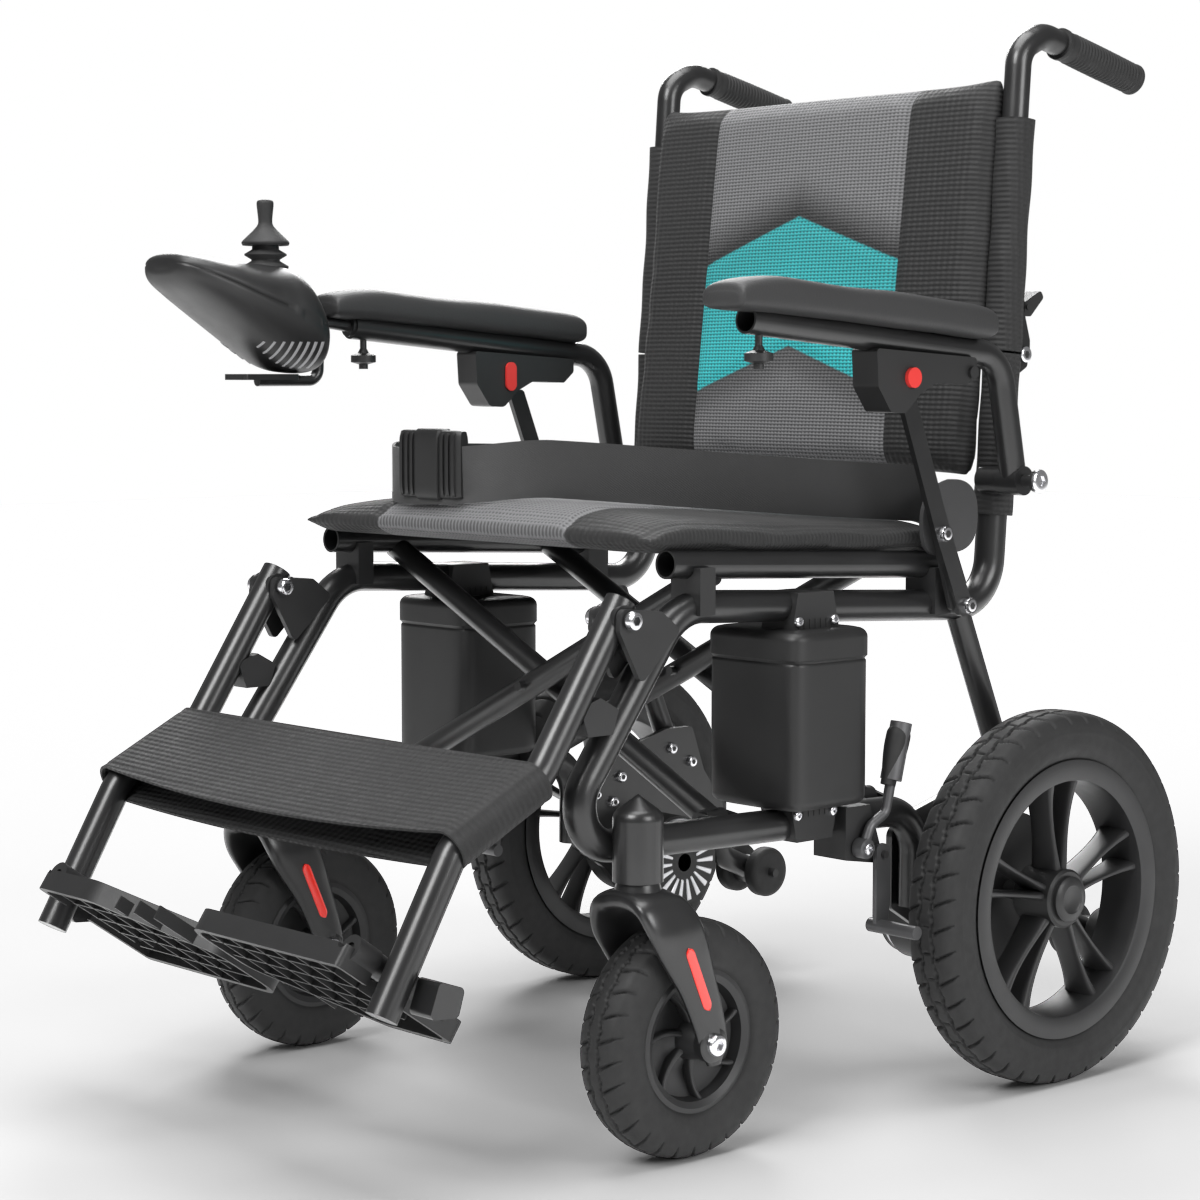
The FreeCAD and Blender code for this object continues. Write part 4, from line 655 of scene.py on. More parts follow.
def swell(piece: bpy.types.Object, voxel: float, pressure: float, cap: float) -> None:
    """Fills a closed mesh like a cushion, by cloth under pressure, and smooths it once.

    Args:
        piece: A closed mesh, a little smaller than the finished cushion.
        voxel: The remesh size.
        pressure: The cloth's inside pressure.
        cap: The furthest that a point may move.
    """
    remesh = piece.modifiers.new("Remesh", "REMESH")
    remesh.mode = "VOXEL"
    remesh.voxel_size = voxel
    apply_modifiers(piece)
    start = read_points(piece)
    cloth = piece.modifiers.new("Cloth", "CLOTH")
    cloth.settings.use_pressure = True
    cloth.settings.uniform_pressure_force = pressure
    cloth.settings.effector_weights.gravity = 0.0
    cloth.settings.quality = 5
    scene = bpy.context.scene
    for step in range(1, 21):
        scene.frame_set(step)
    apply_modifiers(piece)
    scene.frame_set(1)
    moved = read_points(piece) - start
    length = np.linalg.norm(moved, axis=1, keepdims=True)
    write_points(piece, start + moved * np.minimum(1.0, cap / np.maximum(length, 1e-9)))
    soften(piece, 4)


def soften(piece: bpy.types.Object, rounds: int) -> None:
    """Smooths a mesh a few rounds, and shades it smooth."""
    work = bmesh.new()
    work.from_mesh(piece.data)
    for _ in range(rounds):
        bmesh.ops.smooth_vert(work, verts=work.verts, factor=0.5, use_axis_x=True, use_axis_y=True,
                              use_axis_z=True)
    work.to_mesh(piece.data)
    work.free()
    shade(piece.data, 180.0)


def apply_modifiers(piece: bpy.types.Object) -> None:
    """Bakes a piece's modifiers into its mesh."""
    graph = bpy.context.evaluated_depsgraph_get()
    baked = bpy.data.meshes.new_from_object(piece.evaluated_get(graph), depsgraph=graph)
    piece.modifiers.clear()
    piece.data = baked


def read_points(piece: bpy.types.Object) -> Array:
    """The piece's vertices."""
    points = np.empty(len(piece.data.vertices) * 3)
    piece.data.vertices.foreach_get("co", points)
    return points.reshape(-1, 3)


def write_points(piece: bpy.types.Object, points: Array) -> None:
    """Puts vertices back into the piece."""
    piece.data.vertices.foreach_set("co", points.reshape(-1))
    piece.data.update()


def seam(distance: Array, width: float, depth: float) -> Array:
    """How far a sewn line pulls the cloth in: depth * exp(-(distance / width)^2)."""
    return depth * np.exp(-(distance / width) ** 2)


def solidify(piece: bpy.types.Object, thickness: float, offset: float = 0.0) -> None:
    """Gives a sheet its thickness and bakes it."""
    wall = piece.modifiers.new("Wall", "SOLIDIFY")
    wall.thickness = thickness
    wall.offset = offset
    wall.use_even_offset = True
    apply_modifiers(piece)
    shade(piece.data, 50.0)


@dataclass
class Backrest(Assembly):
    """The padded back: one pad cut at the fold, and a sleeve round each post."""

    half_width: float = 0.2135
    foot: tuple = (0.1515, 0.498)
    top: tuple = (0.190, 0.838)
    depth: float = 0.026
    panel: float = 0.1165
    split_z: float = 0.6055
    post_x: float = 0.212
    post_lean: float = 0.0739
    sleeve_foot: float = 0.470
    sleeve_top: float = 0.800
    keep: float = 0.54

    def build(self) -> None:
        """Makes the pad's two halves and the four sleeves."""
        whole = self.pad()
        for upper in (False, True):
            half = self.half(whole, upper)
            body = "right_back" if upper else "right_frame"
            self.dress(half, self.wardrobe.back, body, "mesh",
                       "back_pad_upper" if upper else "back_pad_lower")
            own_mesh(half)
        bpy.data.objects.remove(whole)
        for side in Side:
            for upper in (False, True):
                self.sleeve(side, upper)

    def front_y(self, z: Array) -> Array:
        """The y of the front face at a height."""
        return self.foot[0] + (self.top[0] - self.foot[0]) * (z - self.foot[1]) / (self.top[1] - self.foot[1])

    def post_y(self, z: Array) -> Array:
        """The y of the posts' centre line at a height."""
        return 0.183 + self.post_lean * (z - 0.457)

    def pad(self) -> bpy.types.Object:
        """The whole pad: a rounded slab, swollen, then drawn in along its seams.

        The slab is a superellipse in x and y, carried up z, and its depth shrinks towards both ends by
        the eighth root of 1 - t^8.
        """
        share = np.linspace(-1.0, 1.0, 60)
        z = (self.foot[1] + self.top[1]) / 2 + share * (self.top[1] - self.foot[1]) / 2 * 0.99
        ends = np.maximum(1.0 - np.abs(share) ** 8, 0.0) ** 0.25
        ring = rounded(1.0, 1.0, 7.0, 96)
        x = ring[None, :, 0] * (self.half_width - 0.004) * (0.985 + 0.015 * ends[:, None])
        centre = self.front_y(z) + self.depth / 2
        y = centre[:, None] + ring[None, :, 1] * self.depth / 2 * (0.35 + 0.6 * ends[:, None])
        grid = np.stack([x, y, np.broadcast_to(z[:, None], x.shape)], axis=-1)
        shell = Shell()
        shell.add(grid)
        piece = shell.make("back_pad")
        swell(piece, 0.005, 3.0, 0.006)
        points = read_points(piece)
        points = self.draw_seams(points)
        write_points(piece, points)
        return piece

    def draw_seams(self, points: Array) -> Array:
        """Pulls the front in along the panel seams and the chevron's edges, and pads it between them."""
        x, z = np.abs(points[:, 0]), points[:, 2]
        front = points[:, 1] - DATUM < self.front_y(z) + self.depth * 0.45
        level = z + 0.35 * x
        pull = seam(x - self.panel, 0.0045, 0.0032)
        inside = smooth_step(self.panel + 0.002, self.panel - 0.002, x)
        pull += inside * (seam(level - 0.7265, 0.0035, 0.0016) + seam(level - 0.6125, 0.0035, 0.0016))
        pull += seam(x - 0.200, 0.004, 0.0014)
        across = np.clip(x / self.panel, 0.0, 1.0)
        pull -= 0.0035 * inside * (1.0 - across ** 2)
        points[:, 1] += np.where(front, pull, 0.0)
        return points

    def half(self, whole: bpy.types.Object, upper: bool) -> bpy.types.Object:
        """One half of the pad, cut flat at the fold and closed.

        Args:
            whole: The whole pad.
            upper: Whether the upper half is kept.

        Returns:
            The half, as a new object.
        """
        name = "back_upper" if upper else "back_lower"
        mesh = whole.data.copy()
        work = bmesh.new()
        work.from_mesh(mesh)
        everything = list(work.verts) + list(work.edges) + list(work.faces)
        cut = bmesh.ops.bisect_plane(work, geom=everything, dist=1e-6, plane_co=(0, 0, self.split_z),
                                     plane_no=(0, 0, 1), clear_inner=upper, clear_outer=not upper)
        edges = [item for item in cut["geom_cut"] if isinstance(item, bmesh.types.BMEdge)]
        bmesh.ops.triangle_fill(work, use_beauty=True, use_dissolve=False, edges=edges)
        bmesh.ops.recalc_face_normals(work, faces=work.faces)
        work.to_mesh(mesh)
        work.free()
        shade(mesh, 60.0)
        piece = bpy.data.objects.new(name, mesh)
        bpy.context.scene.collection.objects.link(piece)
        return piece

    def sleeve(self, side: Side, upper: bool) -> None:
        """The fabric tube round one post, above or below the fold.

        Its section is a superellipse that leans forward to meet the pad, carried up the post.
        """
        low, high = self.sleeve_foot, self.split_z - 0.001
        if upper:
            low, high = self.split_z + 0.001, self.sleeve_top
        z = np.linspace(low, high, 40)
        path = np.stack([np.full_like(z, side.value * self.post_x), self.post_y(z) + 0.001, z], axis=-1)
        wobble = 1.0 + 0.025 * np.sin(z * 95.0) + 0.02 * np.sin(z * 41.0 + 1.0)
        section = rounded(0.0142, 0.0155, 2.6, 40)[None] * wobble[:, None, None]
        shell = Shell()
        shell.add(sweep(path, section))
        piece = shell.make(side.word + ("_sleeve_upper" if upper else "_sleeve_lower"), 60.0)
        body = side.word + ("_back" if upper else "_frame")
        self.dress(piece, self.wardrobe.sleeve, body, "mesh")


@dataclass
class Seat(Assembly):
    """The seat cushion, its side guards and the belt that lies on it."""

    half_width: float = 0.224
    front: tuple = (-0.220, 0.4580)
    rear: tuple = (0.136, 0.4422)
    edge_height: float = 0.015
    crown: float = 0.031
    panel: float = 0.118
    anchor_x: float = 0.210
    keep: float = 0.48
    belt_height: float = 0.046
    belt_thickness: float = 0.0024

    def build(self) -> None:
        """Makes the cushion, the guards and the belt."""
        self.cushion()
        for side in Side:
            self.guard(side)
        self.belt()

    def base_z(self, y: Array) -> Array:
        """The height of the cushion's underside at y."""
        return self.front[1] + ((self.rear[1] - self.front[1]) * (y - self.front[0])
                                / (self.rear[0] - self.front[0]))

    def crown_z(self, x: Array, y: Array) -> Array:
        """The cushion's top: an edge height plus a crown, lower at the sides and near the front.

        Across, the crown falls off as 1 - (x / w)^2.
        """
        across = 1.0 - (np.abs(x) / self.half_width) ** 2.2
        along = smooth_step(self.front[0] - 0.004, self.front[0] + 0.05,
                            y) * smooth_step(self.rear[0] + 0.004, self.rear[0] - 0.03, y)
        return (self.base_z(y) + self.edge_height * (0.55 + 0.45 * along)
                + (self.crown - self.edge_height) * across * (0.55 + 0.45 * along))

    def cushion(self) -> None:
        """The cushion: top and bottom surfaces over x and y, swollen, then drawn in along its seams."""
        x = np.linspace(-1.0, 1.0, 70)
        y = np.linspace(self.front[0] + 0.003, self.rear[0] - 0.003, 56)
        across, along = np.meshgrid(np.sin(x * np.pi / 2) * (self.half_width - 0.003), y, indexing="ij")
        top = np.stack([across, along, self.crown_z(across, along) - 0.003], axis=-1)
        low = np.stack([across, along, self.base_z(along) + 0.001], axis=-1)
        shell = Shell()
        shell.add(top, wrap_columns=False, caps=False)
        shell.add(low, wrap_columns=False, caps=False)
        for edge in (0, -1):
            shell.add(np.stack([top[edge], low[edge]]), wrap_columns=False, caps=False)
            shell.add(np.stack([top[:, edge], low[:, edge]]), wrap_columns=False, caps=False)
        piece = shell.make("seat_cushion_cover")
        swell(piece, 0.005, 3.0, 0.005)
        points = read_points(piece)
        x, y, z = np.abs(points[:, 0]), points[:, 1] - DATUM, points[:, 2]
        upper = z > self.base_z(y) + 0.007
        pull = seam(x - self.panel, 0.0045, 0.003) + seam(x - 0.206, 0.004, 0.0016)
        pull += seam(y - (self.front[0] + 0.016), 0.004, 0.0014)
        points[:, 2] -= np.where(upper, pull, 0.0)
        write_points(piece, points)
        self.dress(piece, self.wardrobe.seat, "seat", "mesh", "seat_cushion")
        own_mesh(piece)

    def guard(self, side: Side) -> None:
        """The rounded side guard at the cushion's rear corner.

        A superellipse in y and z, with its height eased down towards the front.
        """
        ring = rounded(0.034, 0.030, 2.6, 48)
        layers = np.array([0.0, 0.0006, 0.0044, 0.005])
        scale = np.array([0.95, 1.0, 1.0, 0.95])
        y = 0.112 + ring[None, :, 0] * scale[:, None]
        z = 0.472 + ring[None, :, 1] * scale[:, None] - 0.006 * np.clip((0.112 - y) / 0.03, 0.0, 1.0)
        x = np.broadcast_to(side.value * (0.2245 + layers[:, None]), y.shape)
        shell = Shell()
        shell.add(np.stack([x, y, z], axis=-1))
        piece = shell.make(side.word + "_side_guard", 50.0)
        self.dress(piece, self.wardrobe.flap, side.word + "_frame", "webbing")

    def belt(self) -> None:
        """The belt: one strip on its edge, carried along a smooth curve, with its buckle."""
        route = np.array([(0.194, 0.124), (0.178, 0.040), (0.152, -0.040), (0.116, -0.112), (0.064, -0.166),
                          (0.004, -0.194),
                          (-0.060, -0.204), (-0.112, -0.197), (-0.139, -0.165), (-0.137, -0.112),
                          (-0.124, -0.045),
                          (-0.136, 0.026), (-0.165, 0.080), (-0.192, 0.122)])
        flat = curve(route, 200)
        share = np.linspace(0.0, 1.0, len(flat))
        height = self.crown_z(flat[:, 0], flat[:, 1]) + 0.0035
        lean = 0.0022 * np.sin(share * 17.0)
        low = np.column_stack([flat, height])
        across = np.gradient(flat, axis=0)
        across = np.column_stack([-across[:, 1], across[:, 0]])
        across = across / np.linalg.norm(across, axis=1, keepdims=True)
        rise = np.linspace(0.0, 1.0, 10)[None, :, None]
        offset = np.column_stack([across * lean[:, None], np.full(len(flat), self.belt_height)])
        grid = low[:, None, :] + offset[:, None, :] * rise
        shell = Shell()
        shell.add(grid, wrap_columns=False, caps=False)
        piece = shell.make("lap_belt_strip", 50.0)
        solidify(piece, self.belt_thickness)
        self.dress(piece, self.wardrobe.belt, "seat", "webbing", "lap_belt")
        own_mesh(piece)
        self.buckle()

    def buckle(self) -> None:
        """The side-release buckle round the belt: a rounded body, a latch tongue and upright ribs.

        Each part is a superellipse carried along the belt's own line there, which is almost straight.
        """
        start, end = np.array([-0.018, -0.1995]), np.array([-0.092, -0.2035])
        parts = ((0.00, 1.00, 0.0068, 0.0278), (0.30, 0.70, 0.0088, 0.0292), (0.05, 0.10, 0.0082, 0.0262),
                 (0.14, 0.19, 0.0082, 0.0262),
                 (0.23, 0.27, 0.0082, 0.0262), (0.73, 0.77, 0.0082, 0.0262), (0.81, 0.86, 0.0082, 0.0262),
                 (0.90, 0.95, 0.0082, 0.0262))
        level = float(self.crown_z(np.array(-0.05), np.array(-0.19))) + 0.0315
        shell = Shell()
        for first, last, depth, height in parts:
            share = np.linspace(first, last, 16)[:, None]
            line = start + (end - start) * share
            ease = np.minimum(1.0, np.minimum(share - first, last - share) / (last - first) * 14.0 + 0.55)
            size = np.column_stack([depth * ease[:, 0], height * (0.94 + 0.06 * ease[:, 0])])
            path = np.column_stack([line, np.full(16, level)])
            shell.add(sweep(path, shaped(size, 6.0, 32), (0.0, 1.0, 0.0)))
        piece = shell.make("belt_buckle", 40.0)
        self.dress(piece, self.wardrobe.case, "seat", "black_plastic")
        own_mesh(piece)


@dataclass
class CalfStrap(Assembly):
    """The mesh strap wrapped round both legrest hangers."""

    knee: tuple = (-0.325, 0.296)
    shin: tuple = (-0.402, 0.257)
    reach: float = 0.0145
    hanger_x: float = 0.217
    start: float = 0.02
    end: float = 1.08
    sag: float = 0.010
    keep: float = 0.55

    def build(self) -> None:
        """Makes the strap.

        Round the strap runs a stadium: straight between the hangers, front and back, with a half
        circle round each tube. Along the hangers it is straight, and its front sags between them by
        (1 - (x / w)^2) times the sag.
        """
        half_turn = np.linspace(-np.pi / 2, np.pi / 2, 14)
        line = np.linspace(-1.0, 1.0, 40)
        right = np.column_stack([self.hanger_x + self.reach * np.cos(half_turn),
                                 self.reach * np.sin(half_turn)])
        front = np.column_stack([-line * self.hanger_x, np.full(40, self.reach)])
        left = np.column_stack([-right[:, 0], -right[:, 1]])
        back = np.column_stack([line * self.hanger_x, np.full(40, -self.reach)])
        ring = np.concatenate([right, front[1:-1], left, back[1:-1]])
        knee, shin = np.array(self.knee), np.array(self.shin)
        down = (shin - knee) / np.linalg.norm(shin - knee)
        out = np.array([down[1], -down[0]])
        width = np.linalg.norm(shin - knee)
        along = np.linspace(self.start, self.end, 34)[:, None] * width
        bow = self.sag * (1.0 - (ring[None, :, 0] / self.hanger_x) ** 2).clip(0.0)
        droop = along + bow * (along / width - 0.35) * 1.4
        height = ring[None, :, 1] - np.where(ring[None, :, 1] > 0, bow * 0.45, -bow * 0.2)
        hem = np.minimum(along - along[0], along[-1] - along)
        height = height + np.sign(ring[None, :, 1]) * (0.0007 * np.exp(-(hem - 0.005) ** 2 / 0.000004) * -1.0)
        x = np.broadcast_to(ring[None, :, 0], droop.shape)
        y = knee[0] + down[0] * droop + out[0] * height
        z = knee[1] + down[1] * droop + out[1] * height
        shell = Shell()
        shell.add(np.stack([x, y, z], axis=-1), caps=False)
        piece = shell.make("calf_strap_cloth", 60.0)
        solidify(piece, 0.0022, 1.0)
        self.dress(piece, self.wardrobe.strap, "right_leg", "mesh", "calf_strap")
        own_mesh(piece)


# ---------------------------------------------------------------- hard parts


def shaped(sizes: Array, power: float = 4.0, steps: int = 32) -> Array:
    """One superellipse for each row of half sizes (a, b), shaped (n, steps, 2)."""
    return rounded(1.0, 1.0, power, steps)[None] * np.asarray(sizes)[:, None, :]


def spread(values: tuple, steps: int) -> Array:
    """Values carried smoothly over a number of steps."""
    return curve(np.asarray(values, dtype=float).reshape(len(values), -1), steps)


@dataclass
class ArmPads(Assembly):
    """The moulded pads on top of the arm tubes."""

    middle_x: float = 0.2485
    half_width: float = 0.0225
    stations: tuple = ((-0.1710, 0.6475, 0.6385), (-0.1665, 0.6550, 0.6360), (-0.150, 0.6588, 0.6350),
                       (-0.121, 0.6605, 0.6335),
                       (-0.085, 0.6575, 0.6310), (-0.045, 0.6540, 0.6285), (0.010, 0.6515, 0.6240),
                       (0.060, 0.6470, 0.6205),
                       (0.1040, 0.6430, 0.6165), (0.1180, 0.6395, 0.6165), (0.1215, 0.6330, 0.6200))

    def build(self) -> None:
        """Makes both pads.

        A pad is a superellipse in x and z carried along y. Its top and bottom follow two smooth curves,
        and its half width eases in at both ends.
        """
        for side in Side:
            line = spread(self.stations, 90)
            y, top, low = line.T
            share = np.linspace(0.0, 1.0, 90)
            ends = np.minimum(1.0, np.minimum(share, 1.0 - share) * 14.0) ** 0.45
            half = self.half_width * (0.70 + 0.30 * ends)
            ring = shaped(np.column_stack([half, (top - low) / 2]), 3.4, 48)
            x = side.value * self.middle_x + ring[..., 0]
            z = ((top + low) / 2)[:, None] + ring[..., 1]
            crown = 0.0012 * (1.0 - (ring[..., 0] / self.half_width) ** 2) * (ring[..., 1] > 0)
            grid = np.stack([x, np.broadcast_to(y[:, None], x.shape), z + crown], axis=-1)
            shell = Shell()
            shell.add(grid)
            piece = shell.make(side.word + "_arm_cushion", 80.0)
            self.dress(piece, self.wardrobe.pad, side.word + "_arm", "soft_pad", side.word + "_arm_pad")


@dataclass
class DriveWheels(Assembly):
    """The rear wheels: grooved tyres on cast rims with five pairs of blade spokes."""

    middle_x: float = 0.2775
    axle: tuple = (0.1846, 0.1550)
    radius: float = 0.1550
    half_width: float = 0.0250
    rim_inner: float = 0.0975
    rim_half_width: float = 0.0220
    spoke_angle: float = 9.0
    groove_depth: float = 0.0030
    blocks: int = 44

    def build(self) -> None:
        """Makes both wheels."""
        for side in Side:
            self.tyre(side)
            self.rim(side)
            self.hub(side)

    def centre(self, side: Side) -> tuple:
        """The middle of a wheel."""
        return (side.value * self.middle_x, self.axle[0], self.axle[1])

    def tyre(self, side: Side) -> None:
        """A tyre: its profile carried round the axle, with the tread cut in by place.

        The tread's grooves are two zigzag rings, and cross cuts that lean the same way as the zigzag.
        A point's radius drops by the groove's depth times how deep it is in a groove.
        """
        outline = np.array([(-0.0190, 0.1150), (-0.0215, 0.1185), (-0.0245, 0.1260), (-0.0250, 0.1340),
                            (-0.0244, 0.1420),
                            (-0.0228, 0.1476), (-0.0200, 0.1515), (-0.0150, 0.1539), (-0.0080, 0.1549),
                            (0.0, 0.1550)])
        half = curve(outline, 46)
        profile = np.concatenate([half, (half * np.array([-1.0, 1.0]))[::-1][1:]])
        steps = 880
        grid = spin(profile, steps, self.centre(side))
        angle = np.linspace(0.0, 2.0 * np.pi, steps, endpoint=False)[:, None]
        across = profile[None, :, 0]
        share = angle * self.blocks / (2.0 * np.pi)
        wave = np.abs((share % 1.0) - 0.5) * 2.0
        ring = np.exp(-((np.abs(across) - 0.0062 - 0.0030 * (wave - 0.5)) / 0.00105) ** 4)
        lean = share + 0.42 * np.sign(across) * (np.abs(across) - 0.007) / 0.018
        cut = np.exp(-((((lean % 1.0) - 0.5) * 2.0 * np.pi * self.radius / self.blocks) / 0.0013) ** 4)
        cut *= smooth_step(0.0060, 0.0075, np.abs(across)) * smooth_step(0.0245, 0.0225, np.abs(across))
        sipe = np.exp(-(((((share + 0.25) % 1.0) - 0.5) * 2.0 * np.pi * self.radius / self.blocks)
                        / 0.0010) ** 4)
        sipe = sipe * smooth_step(0.0040, 0.0030, np.abs(across)) * 0.6
        shoulder = smooth_step(0.1440, 0.1500, profile[None, :, 1])
        depth = np.clip(ring + cut + sipe, 0.0, 1.0) * self.groove_depth * shoulder
        away = grid - np.array(self.centre(side))
        flat = away * np.array([0.0, 1.0, 1.0])
        reach = np.linalg.norm(flat, axis=-1, keepdims=True)
        rings = 0.0006 * (np.exp(-((profile[:, 1] - 0.1235) / 0.0008) ** 2)
                          + np.exp(-((profile[:, 1] - 0.1385) / 0.0006) ** 2))
        grid = grid - flat / reach * depth[..., None]
        grid[..., 0] += (np.sign(across) * rings[None, :])
        shell = Shell()
        shell.add(grid, wrap_rows=True)
        piece = shell.make(side.word + "_drive_tyre", 42.0)
        self.dress(piece, self.wardrobe.tyre, side.word + "_wheel", "tyre", side.word + "_rear_tyre")

    def rim(self, side: Side) -> None:
        """The rim ring with its lips, and the spokes.

        A spoke is a thin superellipse, deep along the axle, carried out from the hub. Its depth and
        thickness follow a curve that is fuller at both roots.
        """
        w = self.rim_half_width
        profile = np.array([(-w, 0.1160), (-w - 0.0006, 0.1120), (-w, 0.1015), (-w + 0.0015, 0.0985),
                            (-w + 0.0060, self.rim_inner),
                            (w - 0.0060, self.rim_inner), (w - 0.0015, 0.0985), (w, 0.1015),
                            (w + 0.0006, 0.1120), (w, 0.1160),
                            (w - 0.0020, 0.1148), (-w + 0.0020, 0.1148)])
        shell = Shell()
        shell.add(spin(profile, 180, self.centre(side)), wrap_rows=True)
        centre = np.array(self.centre(side))
        for pair in range(5):
            for lean in (-1, 1):
                turn = math.radians(90.0 + 72.0 * pair + lean * self.spoke_angle)
                out = np.array([0.0, math.cos(turn), math.sin(turn)])
                reach = np.linspace(0.0200, 0.1010, 24)
                path = centre + out * reach[:, None]
                full = spread(((0.0150, 0.0042), (0.0132, 0.0029), (0.0118, 0.0026), (0.0116, 0.0027),
                               (0.0130, 0.0034), (0.0165, 0.0048)), 24)
                shell.add(sweep(path, shaped(full, 3.0, 24)))
        piece = shell.make(side.word + "_drive_rim", 35.0)
        self.dress(piece, self.wardrobe.rim, side.word + "_wheel", "cast_rim", side.word + "_rear_rim")

    def hub(self, side: Side) -> None:
        """The hub barrel and its pressed cap, spun from one profile each."""
        x, y, z = self.centre(side)
        half = 0.0200
        barrel = np.array([(-half, 0.0), (-half, 0.0225), (-half + 0.002, 0.0245), (half - 0.002, 0.0245),
                           (half, 0.0225), (half, 0.0)])
        shell = Shell()
        shell.add(spin(barrel, 96, (x, y, z)), wrap_rows=True)
        face = side.value * half
        cap = np.array([(face, 0.0), (face, 0.0188), (face + side.value * 0.0028, 0.0190),
                        (face + side.value * 0.0046, 0.0172),
                        (face + side.value * 0.0052, 0.0120), (face + side.value * 0.0040, 0.0105),
                        (face + side.value * 0.0040, 0.0)])
        shell.add(spin(cap, 96, (x, y, z)), wrap_rows=True)
        piece = shell.make(side.word + "_hub_cap", 40.0)
        self.dress(piece, self.wardrobe.pod, side.word + "_wheel", "cast_rim")


